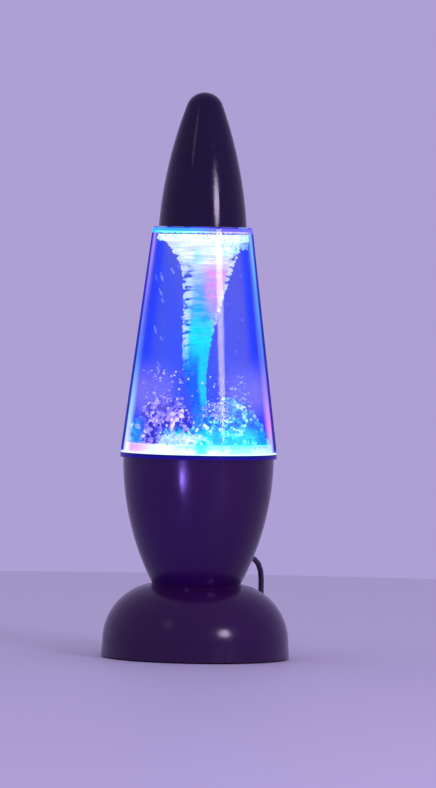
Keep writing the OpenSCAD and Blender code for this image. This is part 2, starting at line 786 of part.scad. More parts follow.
module light_board() {
    color([0.05, 0.3, 0.15]) difference() {
        ring(board_bore, board_r, z_board, board_t);
        around(3, post_at, 60) disc(1.2 + press_fit, z_board - 1, board_t + 2);
    }
}

module lights_group() {
    color([0.9, 0.95, 1]) around(lights, light_at, 180 / lights) {
        disc(light_r, z_board_top, light_h);
        disc(light_r + 0.4, z_board_top, 1);
        translate([0, 0, z_board_top + light_h]) sphere(r = light_r);
    }
}

module switch_body() {
    color([0.06, 0.06, 0.07]) difference() {
        union() {
            at_switch(0) cylinder(r = switch_flange_r, h = switch_flange_t);
            at_switch(-switch_barrel_l) cylinder(r = switch_barrel_r, h = switch_barrel_l + 0.5);
            translate([-switch_block_w / 2, seat_y - switch_barrel_l - switch_block_l, switch_z - switch_block_w / 2])
                cube([switch_block_w, switch_block_l, switch_block_w]);
        }
        at_switch(1 - switch_barrel_l)
            cylinder(r = button_r + run_fit, h = switch_barrel_l + switch_flange_t + 5);
    }
}

module switch_nut() {
    color("silver") difference() {
        at_switch(-switch_panel_t - 2.5) cylinder(r = switch_barrel_r + 2.6, h = 2.5, $fn = 6);
        at_switch(-switch_panel_t - 5) cylinder(r = switch_barrel_r + seat_fit / 2, h = 10);
    }
}

module switch_button() {
    stem = switch_barrel_l - 1 - button_travel - 0.5;
    color([0.55, 0.08, 0.1]) at_switch(-stem) {
        cylinder(r = button_r, h = stem + button_out - 0.6);
        translate([0, 0, stem + button_out - 0.6]) cylinder(r1 = button_r, r2 = button_r - 0.6, h = 0.6);
    }
}

module switch_terminals() {
    color("goldenrod") for (x = [-3, 3])
        translate([x - 0.4, seat_y - switch_barrel_l - switch_block_l - 5, switch_z - 1.4])
            cube([0.8, 5, 2.8]);
}

// Leads inside the base: supply to the board, board to the switch, board to the motor
module wiring() {
    entry = boot_in - wire_r / 4;
    out = turned([1, 0], cord_az);
    pole = turned([1, 0], 60);
    exit = turned([1, 0], 300);
    tab_y = seat_y - switch_barrel_l - switch_block_l - 5;
    tab_x = motor_r * 0.6;
    color([0.7, 0.1, 0.1]) {
        tube([
            [out[0] * boot_in, out[1] * boot_in, cord_z],
            [out[0] * (boot_in - 2), out[1] * (boot_in - 2), cord_z],
            [pole[0] * (wire_at - 1), pole[1] * (wire_at - 1), cord_z + 4],
            [pole[0] * wire_at, pole[1] * wire_at, cord_z + 10],
            [pole[0] * wire_at, pole[1] * wire_at, z_bracket - 8],
            [pole[0] * wire_at, pole[1] * wire_at, z_board]
        ], wire_r, 6, [0, 0, 1]);
        tube([
            [-wire_at, 0, z_board], [-wire_at, 0, z_bracket - 8], [-wire_at, 0, foot_h + 25],
            [-13, 2, foot_h + 12], [-7, 4, foot_h + 4], [-6, 5, foot_h - 6], [-5, 9, switch_z + 14],
            [-3, 16, switch_z + 4], [-3, 22, switch_z], [-3, tab_y, switch_z]
        ], wire_r, 6, [0, 1, 0]);
        tube([
            [exit[0] * wire_at, exit[1] * wire_at, z_board],
            [exit[0] * wire_at, exit[1] * wire_at, z_bracket - 8],
            [exit[0] * wire_at, exit[1] * wire_at, z_motor_end],
            [exit[0] * (wire_at - 2), exit[1] * (wire_at - 2), z_motor_end - 6],
            [tab_x + 1.5, -8, z_motor_end - 9], [tab_x, -3, z_motor_end - 10],
            [tab_x, 0, z_motor_end - 8], [tab_x, 0, z_motor_end - 5]
        ], wire_r, 6, [0, 1, 0]);
    }
}

// The side stops a little under the line where the tip's sphere takes over
module cap_body(off, low) {
    join = z_tip + tip_dir[1] * (tip_r - off) - tip_r / 20;
    rotate_extrude() intersection() {
        translate(cap_c) circle(r = cap_arc - off, $fn = wide_fn);
        translate([0, low]) square([cap_r + 5, join - low]);
    }
    translate([0, 0, z_tip]) sphere(r = tip_r - off);
}
module cap() {
    color([0.1, 0.05, 0.14]) {
        difference() {
            cap_body(0, z_cap);
            cap_body(cap_wall, z_cap - 1);
        }
        intersection() {
            ring(ring_r + seat_fit, cap_r, z_cap + grip_in, grip_h);
            cap_body(cap_wall / 2, z_cap);
        }
    }
}

module stopper() {
    head_r = bore_r + head_over;
    color([0.2, 0.2, 0.22]) {
        disc(bore_r - seat_fit, z_head - washer_t - stem_h, stem_h + washer_t + 0.5);
        disc(head_r, z_head, head_t);
        intersection() {
            translate([-head_r, -finger_t / 2, z_head + head_t - 0.5]) cube([2 * head_r, finger_t, finger_h + 0.5]);
            translate([0, 0, z_head + head_t + finger_h - head_r * 0.8]) rotate([90, 0, 0])
                cylinder(r = head_r * 0.8, h = 2 * head_r, center = true);
        }
    }
}

module stopper_washer() {
    color([0.75, 0.15, 0.1]) ring(bore_r, bore_r + neck_t - 0.4, z_neck, washer_t);
}

// The strain relief: a flanged bushing in the cup's boss, ribbed down to the cord
module strain_relief() {
    length = boot_tip - boot_seat;
    ribs = 5;
    rib = (length - boot_flange_t - 3) / ribs;
    root = boot_neck_r + 0.8;
    function taper(x) = root + (cord_d / 2 + 0.7 - root) * (x - boot_flange_t) / (length - boot_flange_t);
    color([0.07, 0.06, 0.08]) {
        at_exit(boot_in) cylinder(r = boot_neck_r, h = boot_seat - boot_in);
        at_exit(boot_seat) rotate_extrude() polygon(concat(
            [[0, 0], [boot_flange_r, 0], [boot_flange_r, boot_flange_t]],
            [
                for (i = [0:ribs - 1])
                    let (x = boot_flange_t + i * rib)
                        each [
                            [taper(x) - 0.5, x], [taper(x) - 0.5, x + rib * 0.35],
                            [taper(x), x + rib * 0.35], [taper(x + rib), x + rib]
                        ]
            ],
            [[taper(length), length], [0, length]]
        ));
    }
}

module cord_lead() {
    color([0.06, 0.05, 0.07]) tube(cord_route, cord_d / 2, 8, [0, 0, 1]);
}

module cord_coil() {
    color([0.06, 0.05, 0.07]) tube(coil_path, cord_d / 2, 6, [0, 0, 1]);
}

module cord_tail() {
    color([0.06, 0.05, 0.07]) tube(tail_route, cord_d / 2, 8, [0, 0, 1]);
}

// A strap round all the turns at one place
module coil_tie() {
    low = coil_in - coil_step / 4 - cord_d / 2 - 0.6;
    span = coil_r + cord_d / 2 + 0.6 - low;
    high = coil_z + coil_step + cord_d / 2 + 0.3;
    base = coil_z - cord_d / 2 - 0.2;
    color([0.15, 0.15, 0.17]) translate([coil_c[0], coil_c[1], 0]) rotate([0, 0, 205])
        translate([low, tie_w / 2, 0]) rotate([90, 0, 0]) linear_extrude(tie_w) difference() {
            translate([-tie_t, base - tie_t]) square([span + 2 * tie_t, high - base + 2 * tie_t]);
            translate([0, base]) square([span, high - base]);
        }
}

// The plug lies along -X at the end of the tail
module at_plug(d) {
    translate(tail_route[len(tail_route) - 1] - [d, 0, 0]) rotate([0, -90, 0]) children();
}
module plug_section(w, t, r) {
    translate([-t / 2, r - w / 2]) square([t, w - 2 * r]);
    translate([r - t / 2, -w / 2]) square([t - 2 * r, w]);
    for (x = [-1, 1], y = [-1, 1]) translate([x * (t / 2 - r), y * (w / 2 - r)]) circle(r = r);
}
module plug_grip() {
    color([0.06, 0.05, 0.07]) difference() {
        union() {
            at_plug(0) cylinder(r1 = cord_d / 2 + 0.5, r2 = plug_t / 2 - 0.6, h = plug_taper_l + 0.5);
            at_plug(plug_taper_l) linear_extrude(plug_l) plug_section(plug_w, plug_t, 2.4);
        }
        for (i = [0:3], s = [-1, 1])
            at_plug(plug_taper_l + plug_l * 0.25 + 2.4 * i) translate([s * plug_t / 2, 0, 0])
                cube([0.8, plug_w * 0.6, 1], center = true);
    }
}

module plug_shell() {
    wall_t = 0.35;
    window = shell_w * 0.21;
    color("silver") difference() {
        at_plug(plug_taper_l + plug_l) linear_extrude(shell_l) difference() {
            square([shell_t, shell_w], center = true);
            square([shell_t - 2 * wall_t, shell_w - 2 * wall_t], center = true);
        }
        for (y = [-1, 1]) at_plug(plug_taper_l + plug_l + shell_l * 0.52) translate([0, y * shell_w / 4, 0])
            cube([shell_t + 2, window, window], center = true);
    }
}

module plug_tongue() {
    color("white") at_plug(plug_taper_l + plug_l)
        translate([-shell_t / 2 + 0.37, -shell_w / 2 + 0.45, 0])
            cube([1.8, shell_w - 0.9, shell_l - 1]);
}

foot();
base_plate();
base_screws();
pads();
cup();
waist_screws();
light_floor();
gasket();
vessel();
water();
foam();
whirl();
impeller();
impeller_magnets();
spindle();
keeper();
drive_disc();
drive_magnets();
motor_shaft();
motor_can();
motor_end();
motor_terminals();
motor_screws();
bracket();
bracket_screws();
light_board();
lights_group();
switch_body();
switch_nut();
switch_button();
switch_terminals();
wiring();
cap();
stopper();
stopper_washer();
strain_relief();
cord_lead();
cord_coil();
cord_tail();
coil_tie();
plug_grip();
plug_shell();
plug_tongue();
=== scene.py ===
"""Looks of a tornado lamp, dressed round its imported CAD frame.

A whirl of lit water stands in a tapered clear vessel on an egg-cup base, under a bullet-shaped cap.
Metres, +Z up, with the front of the lamp at -Y.
"""

from __future__ import annotations

import logging
from dataclasses import dataclass, fields, replace
from enum import Enum
from math import cos, pi, radians, sin
from typing import Callable, Mapping, Optional, Sequence, Union

import bmesh
import bpy
from bpy.types import ID, Material, Mesh, Node, NodeSocket, NodeTree, Object
from mathutils import Matrix, Vector

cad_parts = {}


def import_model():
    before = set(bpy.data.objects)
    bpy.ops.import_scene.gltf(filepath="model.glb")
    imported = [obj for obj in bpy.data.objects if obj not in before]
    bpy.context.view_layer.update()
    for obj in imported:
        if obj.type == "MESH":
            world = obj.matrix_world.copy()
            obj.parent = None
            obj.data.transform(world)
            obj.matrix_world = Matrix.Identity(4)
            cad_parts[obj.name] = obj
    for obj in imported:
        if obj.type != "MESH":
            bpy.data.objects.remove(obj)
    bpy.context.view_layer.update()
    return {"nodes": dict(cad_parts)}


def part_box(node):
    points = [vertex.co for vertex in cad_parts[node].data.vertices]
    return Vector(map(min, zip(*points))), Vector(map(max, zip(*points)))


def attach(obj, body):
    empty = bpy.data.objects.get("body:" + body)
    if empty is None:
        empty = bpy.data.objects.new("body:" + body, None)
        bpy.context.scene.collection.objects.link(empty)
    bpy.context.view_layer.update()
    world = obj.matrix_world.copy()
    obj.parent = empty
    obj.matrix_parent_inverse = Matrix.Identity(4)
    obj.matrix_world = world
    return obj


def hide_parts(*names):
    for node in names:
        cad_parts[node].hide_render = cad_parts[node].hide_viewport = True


LOG = logging.getLogger("tornado_lamp")
MM = 0.001
TURN = 2.0 * pi

# Angles past which an edge stays sharp, in radians
CREASE = 0.6
SCREW_CREASE = 0.5

# The vessel's wall is part of a cone: the radius of either face where the cone would meet the table,
# and what that radius loses in a metre
WALL_OUTSIDE = 0.0627
WALL_INSIDE = 0.0602
WALL_LEAN = 0.1262

# Heights of the whirl's two ends, and the distance to either side that counts as one in the light's colours
WHIRL_FOOT = 0.1396
WHIRL_RIM = 0.2546
SIDE_REACH = 0.045

Colour = tuple[float, float, float]
Point = tuple[float, float, float]
Pair = tuple[float, float]
Stops = Sequence[tuple[float, Colour]]
Feed = Union["Signal", float, int, tuple, str, ID]
Inputs = Mapping[Union[str, int], Feed]
Values = dict[str, Feed]

BLACK: Colour = (0.0, 0.0, 0.0)


class Body(Enum):
    """The bodies of the frame that pieces ride on."""

    LAMP = "lamp"
    STIRRER = "stirrer"


class Slot(Enum):
    """Names of the record's material slots."""

    WHIRL = "whirl"
    FOAM = "foam"
    DARK_PLASTIC = "dark_plastic"
    CORD = "cord"
    STEEL = "steel"
    BRASS = "brass"


def link_object(name: str, data: ID) -> Object:
    """Puts a new object into the scene.

    Args:
        name: the object's name.
        data: its mesh, curve, light or camera.

    Returns:
        The object.
    """
    made = bpy.data.objects.new(name, data)
    bpy.context.scene.collection.objects.link(made)
    return made


def discard(spare: Object) -> None:
    """Removes an object that was only needed for a while, and its mesh.

    Args:
        spare: the object.
    """
    mesh = spare.data
    bpy.data.objects.remove(spare)
    bpy.data.meshes.remove(mesh)


# Node trees


def math_method(operation: str, number_first: bool = False) -> Callable[..., Signal]:
    """Makes a method of Signal that adds one Math node.

    Args:
        operation: the node's operation.
        number_first: whether the other number comes before the signal.

    Returns:
        The method.
    """

    def method(self: Signal, other: Feed = 0.0) -> Signal:
        """Adds the node and hands over its result."""
        pair = (other, self) if number_first else (self, other)
        return self.sketch.math(operation, *pair)

    return method


@dataclass(frozen=True)
class Signal:
    """An output of a node, with arithmetic that adds Math nodes to its own tree."""

    sketch: NodeSketch
    socket: NodeSocket

    __add__ = math_method("ADD")
    __radd__ = math_method("ADD", number_first=True)
    __sub__ = math_method("SUBTRACT")
    __rsub__ = math_method("SUBTRACT", number_first=True)
    __mul__ = math_method("MULTIPLY")
    __truediv__ = math_method("DIVIDE")
    __pow__ = math_method("POWER")
    sin = math_method("SINE")
    cos = math_method("COSINE")
    exp = math_method("EXPONENT")
    least = math_method("MINIMUM")
    most = math_method("MAXIMUM")

    def eased(self, low: Feed, high: Feed) -> Signal:
        """A smooth step from 0 at low to 1 at high."""
        return self.sketch.out("ShaderNodeMapRange", {"Value": self, "From Min": low, "From Max": high},
                               interpolation_type="SMOOTHSTEP")

    def window(self, start: float, full: float, fading: float, end: float) -> Signal:
        """A smooth step from 0 at start to 1 at full, and back from 1 at fading to 0 at end."""
        return self.eased(start, full) * (1.0 - self.eased(fading, end))


class NodeSketch:
    """A node tree that is drawn from code."""

    def __init__(self, tree: NodeTree) -> None:
        """Takes the tree to draw in."""
        self.tree = tree

    def feed(self, socket: NodeSocket, value: Feed) -> None:
        """Links a signal to a socket, or sets the socket's own value.

        Args:
            socket: the input to feed.
            value: a signal, number, colour or data block.
        """
        if isinstance(value, Signal):
            self.tree.links.new(value.socket, socket)
        elif isinstance(value, tuple) and socket.type == "RGBA":
            socket.default_value = (*value, 1.0)
        else:
            socket.default_value = value

    def add(self, kind: str, inputs: Optional[Inputs] = None, **settings: object) -> Node:
        """Adds one node.

        Args:
            kind: the node's type name.
            inputs: values for its inputs, by name or place.
            **settings: the node's own settings.

        Returns:
            The node.
        """
        node = self.tree.nodes.new(kind)
        for name, value in settings.items():
            setattr(node, name, value)
        for key, value in (inputs or {}).items():
            self.feed(node.inputs[key], value)
        return node

    def out(self, kind: str, inputs: Optional[Inputs] = None, socket: Union[str, int] = 0,
            **settings: object) -> Signal:
        """Adds one node and hands over one of its outputs, by name or place."""
        return Signal(self, self.add(kind, inputs, **settings).outputs[socket])

    def math(self, operation: str, first: Feed, second: Feed = 0.0) -> Signal:
        """The result of one Math node."""
        return self.out("ShaderNodeMath", {0: first, 1: second}, operation=operation)

    def vector(self, x: Feed, y: Feed, z: Feed) -> Signal:
        """A vector from three numbers."""
        return self.out("ShaderNodeCombineXYZ", {0: x, 1: y, 2: z})

    def split(self, vector: Signal) -> tuple[Signal, ...]:
        """The three numbers of a vector."""
        node = self.add("ShaderNodeSeparateXYZ", {0: vector})
        return tuple(Signal(self, number) for number in node.outputs)

    def place(self) -> Signal:
        """Where a material's surface is, in the lamp's frame."""
        return self.out("ShaderNodeTexCoord", socket="Object")

    def noise(self, vector: Signal, scale: Feed, detail: float = 2.0, distortion: float = 0.0) -> Signal:
        """Soft noise from about 0.2 to 0.8, with so many lumps in a metre."""
        return self.out("ShaderNodeTexNoise", {"Vector": vector, "Scale": scale, "Detail": detail,
                                               "Distortion": distortion})

    def cells(self, vector: Signal, scale: Feed, feature: str = "F1") -> Signal:
        """Distance to the nearest of scattered points, or to the edge between two."""
        return self.out("ShaderNodeTexVoronoi", {"Vector": vector, "Scale": scale}, feature=feature)

    def stretched(self, vector: Signal, scale: Point) -> Signal:
        """A vector scaled by its own amount along each axis."""
        return self.out("ShaderNodeMapping", {"Vector": vector, "Scale": scale})

    def blend(self, share: Feed, first: Feed, second: Feed, mode: str = "MIX") -> Signal:
        """Mixes two colours, with a share from 0 to 1 of the second one."""
        return self.out("ShaderNodeMix", {0: share, 6: first, 7: second}, 2, data_type="RGBA",
                        blend_type=mode)

    def ramp(self, value: Signal, stops: Stops) -> Signal:
        """A colour ramp.

        Args:
            value: where on the ramp, from 0 to 1.
            stops: places and colours.

        Returns:
            The colour.
        """
        node = self.add("ShaderNodeValToRGB", {0: value})
        elements = node.color_ramp.elements
        while len(elements) < len(stops):
            elements.new(0.5)
        for element, (place, colour) in zip(elements, stops):
            element.position = place
            element.color = (*colour, 1.0)
        return Signal(self, node.outputs[0])


class GroupSketch(NodeSketch):
    """A node group with named inputs and outputs; its inputs are read by name."""

    KINDS = {int: "Int", float: "Float", tuple: "Color"}

    def __init__(self, name: str, inputs: Mapping[str, Feed], outputs: Mapping[str, str],
                 kind: str = "ShaderNodeTree") -> None:
        """Makes the group.

        Args:
            name: the group's name.
            inputs: names and starting values; a string names a data type such as Object, with no value.
            outputs: names and data types.
            kind: the tree's type name.
        """
        super().__init__(bpy.data.node_groups.new(name, kind))
        self.identifiers: dict[str, str] = {}
        for label, start in inputs.items():
            bare = isinstance(start, str)
            socket = self._socket(label, "INPUT", start if bare else self.KINDS[type(start)])
            if not bare:
                socket.default_value = (*start, 1.0) if isinstance(start, tuple) else start
            self.identifiers[label] = socket.identifier
        for label, data in outputs.items():
            self._socket(label, "OUTPUT", data)
        self.entry = self.add("NodeGroupInput")
        self.exit = self.add("NodeGroupOutput")

    def _socket(self, label: str, side: str, data: str) -> bpy.types.NodeTreeInterfaceSocket:
        """Adds an input or output to the group."""
        return self.tree.interface.new_socket(name=label, in_out=side, socket_type=f"NodeSocket{data}")

    def __getitem__(self, label: str) -> Signal:
        """One of the group's inputs."""
        return Signal(self, self.entry.outputs[label])

    def result(self, label: str, value: Signal) -> None:
        """Feeds one of the group's outputs."""
        self.feed(self.exit.inputs[label], value)

    def shaded(self, tone: Signal, shade: Signal) -> Signal:
        """A colour made lighter or darker by a number."""
        return self.blend(1.0, tone, self.vector(shade, shade, shade), "MULTIPLY")


class MaterialSketch(NodeSketch):
    """A material with one Principled shader."""

    def __init__(self, name: str) -> None:
        """Makes the material.

        Args:
            name: the material's name.
        """
        self.material = bpy.data.materials.new(name)
        self.material.use_nodes = True
        super().__init__(self.material.node_tree)
        self.tree.nodes.clear()
        self.output = self.add("ShaderNodeOutputMaterial")
        self.shader = self.add("ShaderNodeBsdfPrincipled")
        self.tree.links.new(self.shader.outputs[0], self.output.inputs["Surface"])

    def attribute(self, name: str) -> Signal:
        """A number that the mesh carries at each point."""
        return self.out("ShaderNodeAttribute", socket="Fac", attribute_name=name)

    def effect(self, group: NodeTree, values: Mapping[str, Feed]) -> dict[str, Signal]:
        """Places a shared effect with this material's own values, and hands over its outputs by name."""
        node = self.add("ShaderNodeGroup", values, node_tree=group)
        return {socket.name: Signal(self, socket) for socket in node.outputs}

    def bump(self, height: Signal, depth: float, strength: float = 1.0) -> Signal:
        """A normal that follows a height from about 0 to 1, where 1 means a depth in metres."""
        return self.out("ShaderNodeBump", {"Height": height, "Distance": depth, "Strength": strength})

    def facing(self) -> Signal:
        """How far the surface turns from the eye: 0 where it is met head on, 1 at its outline."""
        return self.out("ShaderNodeLayerWeight", {"Blend": 0.5}, "Facing")

    def reach(self, wall: float) -> Signal:
        """Distance from the lamp's axis, as a share of the radius of one face of the vessel's wall."""
        x, y, z = self.split(self.place())
        return ((x * x + y * y) ** 0.5) / (wall - z * WALL_LEAN)

    def fill(self, tint: Colour, density: float, glow: Colour, strength: float) -> None:
        """Fills the inside with a tinted medium that glows.

        Args:
            tint: colour that light takes on in it.
            density: how fast it takes that colour.
            glow: colour of its own light.
            strength: how strong that is.
        """
        absorb = self.out("ShaderNodeVolumeAbsorption", {"Color": tint, "Density": density})
        shine = self.out("ShaderNodeEmission", {"Color": glow, "Strength": strength})
        self.feed(self.output.inputs["Volume"], self.out("ShaderNodeAddShader", {0: absorb, 1: shine}))

    def dress(self, values: Mapping[str, Feed]) -> Material:
        """Feeds the shader.

        Args:
            values: the shader's inputs by name.

        Returns:
            The material.
        """
        for label, value in values.items():
            self.feed(self.shader.inputs[label], value)
        return self.material


class GeometrySketch(GroupSketch):
    """A Geometry Nodes tree with named inputs that is turned into plain meshes."""

    def __init__(self, name: str, inputs: Mapping[str, Feed]) -> None:
        """Makes the tree, which takes a material besides its own inputs."""
        super().__init__(name, {**inputs, "Material": "Material"}, {"Geometry": "Geometry"},
                         "GeometryNodeTree")

    def chance(self, seed: Feed, low: Feed = 0.0, high: Feed = 1.0) -> Signal:
        """A random number for each point, from a fixed seed."""
        return self.out("FunctionNodeRandomValue", {2: low, 3: high, 8: seed}, 1, data_type="FLOAT")

    def between(self, low: str, high: str, share: Signal) -> Signal:
        """A number between two of the tree's inputs."""
        return self[low] + (self[high] - self[low]) * share

    def around(self, radius: Signal, angle: Signal, height: Signal) -> Signal:
        """A place round the lamp's axis."""
        return self.vector(radius * angle.cos(), radius * angle.sin(), height)

    def points(self, place: Signal) -> Signal:
        """As many points as the tree's Count says, each at its own place."""
        return self.out("GeometryNodePoints", {"Count": self["Count"], "Position": place})

    def step(self, kind: str, geometry: Signal, inputs: Optional[Inputs] = None,
             **settings: object) -> Signal:
        """A node that takes a geometry first and hands one on."""
        return self.out(kind, {0: geometry, **(inputs or {})}, **settings)

    def stored(self, name: str, geometry: Signal, value: Feed, domain: str = "POINT") -> Signal:
        """Keeps a number with the geometry, for its material to read."""
        return self.step("GeometryNodeStoreNamedAttribute", geometry, {"Name": name, "Value": value},
                         data_type="FLOAT", domain=domain)

    def balls(self, points: Signal, rings: int, tone: Signal, shape: Inputs) -> Signal:
        """Sets a ball on each point.

        Args:
            points: the points.
            rings: rings of faces from pole to pole.
            tone: how light each ball is, from 0 to 1.
            shape: its scale, and its rotation where it has one.

        Returns:
            The balls.
        """
        ball = self.out("GeometryNodeMeshUVSphere", {"Segments": 8, "Rings": rings, "Radius": 1.0})
        placed = self.step("GeometryNodeInstanceOnPoints", points, {"Instance": ball, **shape})
        return self.stored("tone", placed, tone, "INSTANCE")

    def finish(self, geometry: Signal) -> None:
        """Realizes instances, smooths, sets the material and feeds the output.

        Args:
            geometry: what the tree has made.
        """
        plain = self.step("GeometryNodeRealizeInstances", geometry)
        smooth = self.step("GeometryNodeSetShadeSmooth", plain)
        self.result("Geometry", self.step("GeometryNodeSetMaterial", smooth, {"Material": self["Material"]}))

    def mesh(self, name: str, values: Mapping[str, Feed]) -> Mesh:
        """Runs the tree once.

        Args:
            name: name of the mesh.
            values: this piece's own values for the tree's inputs.

        Returns:
            A plain mesh.
        """
        holder = link_object(name + "_holder", bpy.data.meshes.new(name + "_holder"))
        modifier = holder.modifiers.new("Tree", "NODES")
        modifier.node_group = self.tree
        for label, value in values.items():
            modifier[self.identifiers[label]] = value
        holder.update_tag()
        graph = bpy.context.evaluated_depsgraph_get()
        made = bpy.data.meshes.new_from_object(holder.evaluated_get(graph), preserve_all_data_layers=True,
                                               depsgraph=graph)
        made.name = name
        discard(holder)
        return made


def named_inputs(sizes: object) -> Values:
    """Turns the fields of a dataclass into inputs of a tree.

    Args:
        sizes: a dataclass of numbers.

    Returns:
        The numbers, under names such as Foot Height for foot_height.
    """
    return {field.name.replace("_", " ").title(): getattr(sizes, field.name) for field in fields(sizes)}


# Effects that several materials share


class EffectKit:
    """Shader node groups that are built once."""

    SKIN = {"Colour": "Color", "Roughness": "Float", "Height": "Float"}

    def __init__(self) -> None:
        """Builds every group."""
        self.moulded = self._moulded()
        self.brushed = self._brushed()
        self.lit = self._lit()

    def _moulded(self) -> NodeTree:
        """Moulded plastic or rubber.

        Returns:
            A group with cloudy colour, handling marks, hairlines, grain and dust.
        """
        group = GroupSketch("moulded_surface", {"Tone": (0.5, 0.5, 0.5), "Cloud": 0.2, "Roughness": 0.4,
                                                "Marks": 0.1, "Grain": 1500.0, "Dust": 0.0}, self.SKIN)
        dust_colour = (0.42, 0.40, 0.46)
        place = group.place()
        cloud = group.noise(place, 28.0, 4.0, 0.4)
        smear = group.noise(group.stretched(place, (1.0, 1.0, 0.35)), 95.0, 3.0, 1.2)
        hair = group.noise(group.stretched(place, (900.0, 900.0, 30.0)), 1.0, 1.0)
        grain = group.noise(place, group["Grain"], 2.0)
        specks = group.cells(place, 420.0)
        fleck = group.noise(place, 60.0, 2.0)
        dust = (1.0 - specks.eased(0.05, 0.16)) * fleck.eased(0.52, 0.66) * group["Dust"]
        shade = (cloud - 0.5) * group["Cloud"] * 2.0 + (grain - 0.5) * group["Cloud"] + 1.0
        group.result("Colour", group.blend(dust, group.shaded(group["Tone"], shade), dust_colour))
        marks = (smear.eased(0.35, 0.7) - 0.4) + hair.eased(0.66, 0.74) * 0.5
        group.result("Roughness", group["Roughness"] + marks * group["Marks"] + dust * 0.4)
        group.result("Height", grain + hair.eased(0.68, 0.72) * -0.3 + dust * 0.6)
        return group.tree

    def _brushed(self) -> NodeTree:
        """Drawn or brushed metal.

        Returns:
            A group with fine lines along one axis and faint stains.
        """
        group = GroupSketch("brushed_metal", {"Tone": (0.7, 0.7, 0.7), "Roughness": 0.3, "Lines": 2600.0},
                            self.SKIN)
        place = group.place()
        lines = group.noise(group.stretched(place, (0.04, 1.0, 1.0)), group["Lines"], 3.0)
        stain = group.noise(place, 140.0, 3.0)
        shade = (lines - 0.5) * 0.3 + (stain - 0.5) * 0.25 + 1.0
        group.result("Colour", group.shaded(group["Tone"], shade))
        group.result("Roughness", group["Roughness"] + (lines - 0.5) * 0.2 + (stain - 0.5) * 0.15)
        group.result("Height", lines)
        return group.tree

    @staticmethod
    def _lit() -> NodeTree:
        """Light in the water.

        Returns:
            A group with the height between two levels, drifting bright veils, and how far to one side.
        """
        group = GroupSketch("lit_water", {"Bottom": 0.129, "Top": 0.2505, "Veil": 45.0},
                            {"Level": "Float", "Veils": "Float", "Side": "Float"})
        place = group.place()
        x, _, z = group.split(place)
        level = (z - group["Bottom"]) / (group["Top"] - group["Bottom"])
        group.result("Level", level.most(0.0).least(1.0))
        veils = group.noise(group.stretched(place, (1.0, 1.0, 0.45)), group["Veil"], 3.0, 1.4)
        group.result("Veils", veils.eased(0.32, 0.72))
        group.result("Side", x / SIDE_REACH)
        return group.tree


# Finishes


def glowing(colour: Signal, strength: float, roughness: Feed) -> Values:
    """Values of a shader that shines in the colour of its surface."""
    return {"Base Color": colour, "Roughness": roughness, "Emission Color": colour,
            "Emission Strength": strength}


@dataclass(frozen=True)
class Finish:
    """A look that becomes one material."""

    name: str

    def values(self, sketch: MaterialSketch, kit: EffectKit) -> Values:
        """Draws the look and hands over the values of its shader."""
        raise NotImplementedError

    def material(self, kit: EffectKit) -> Material:
        """Builds the material."""
        sketch = MaterialSketch(self.name)
        return sketch.dress(self.values(sketch, kit))


@dataclass(frozen=True)
class MouldedFinish(Finish):
    """Moulded plastic, rubber or sheath."""

    tone: Colour
    roughness: float
    cloud: float = 0.2
    marks: float = 0.1
    grain: float = 1500.0
    relief: float = 0.00003
    specular: float = 0.5
    dust: float = 0.0
    glow: float = 0.0

    def values(self, sketch: MaterialSketch, kit: EffectKit) -> Values:
        """Draws the look.

        Args:
            sketch: the material to draw in.
            kit: the shared effects.

        Returns:
            The values of its shader.
        """
        skin = sketch.effect(kit.moulded, {
            "Tone": self.tone, "Cloud": self.cloud, "Roughness": self.roughness, "Marks": self.marks,
            "Grain": self.grain, "Dust": self.dust})
        values: Values = {"Base Color": skin["Colour"], "Roughness": skin["Roughness"],
                          "Normal": sketch.bump(skin["Height"], self.relief, 0.6),
                          "Specular IOR Level": self.specular}
        if self.glow:
            values.update(glowing(skin["Colour"], self.glow, skin["Roughness"]))
        return values


@dataclass(frozen=True)
class MetalFinish(Finish):
    """Drawn, plated or brushed metal."""

    tone: Colour
    roughness: float
    lines: float = 2600.0
    relief: float = 0.00001

    def values(self, sketch: MaterialSketch, kit: EffectKit) -> Values:
        """Draws the look and hands over the values of its shader."""
        skin = sketch.effect(kit.brushed, {"Tone": self.tone, "Roughness": self.roughness,
                                           "Lines": self.lines})
        return {"Base Color": skin["Colour"], "Roughness": skin["Roughness"], "Metallic": 1.0,
                "Normal": sketch.bump(skin["Height"], self.relief, 0.5)}


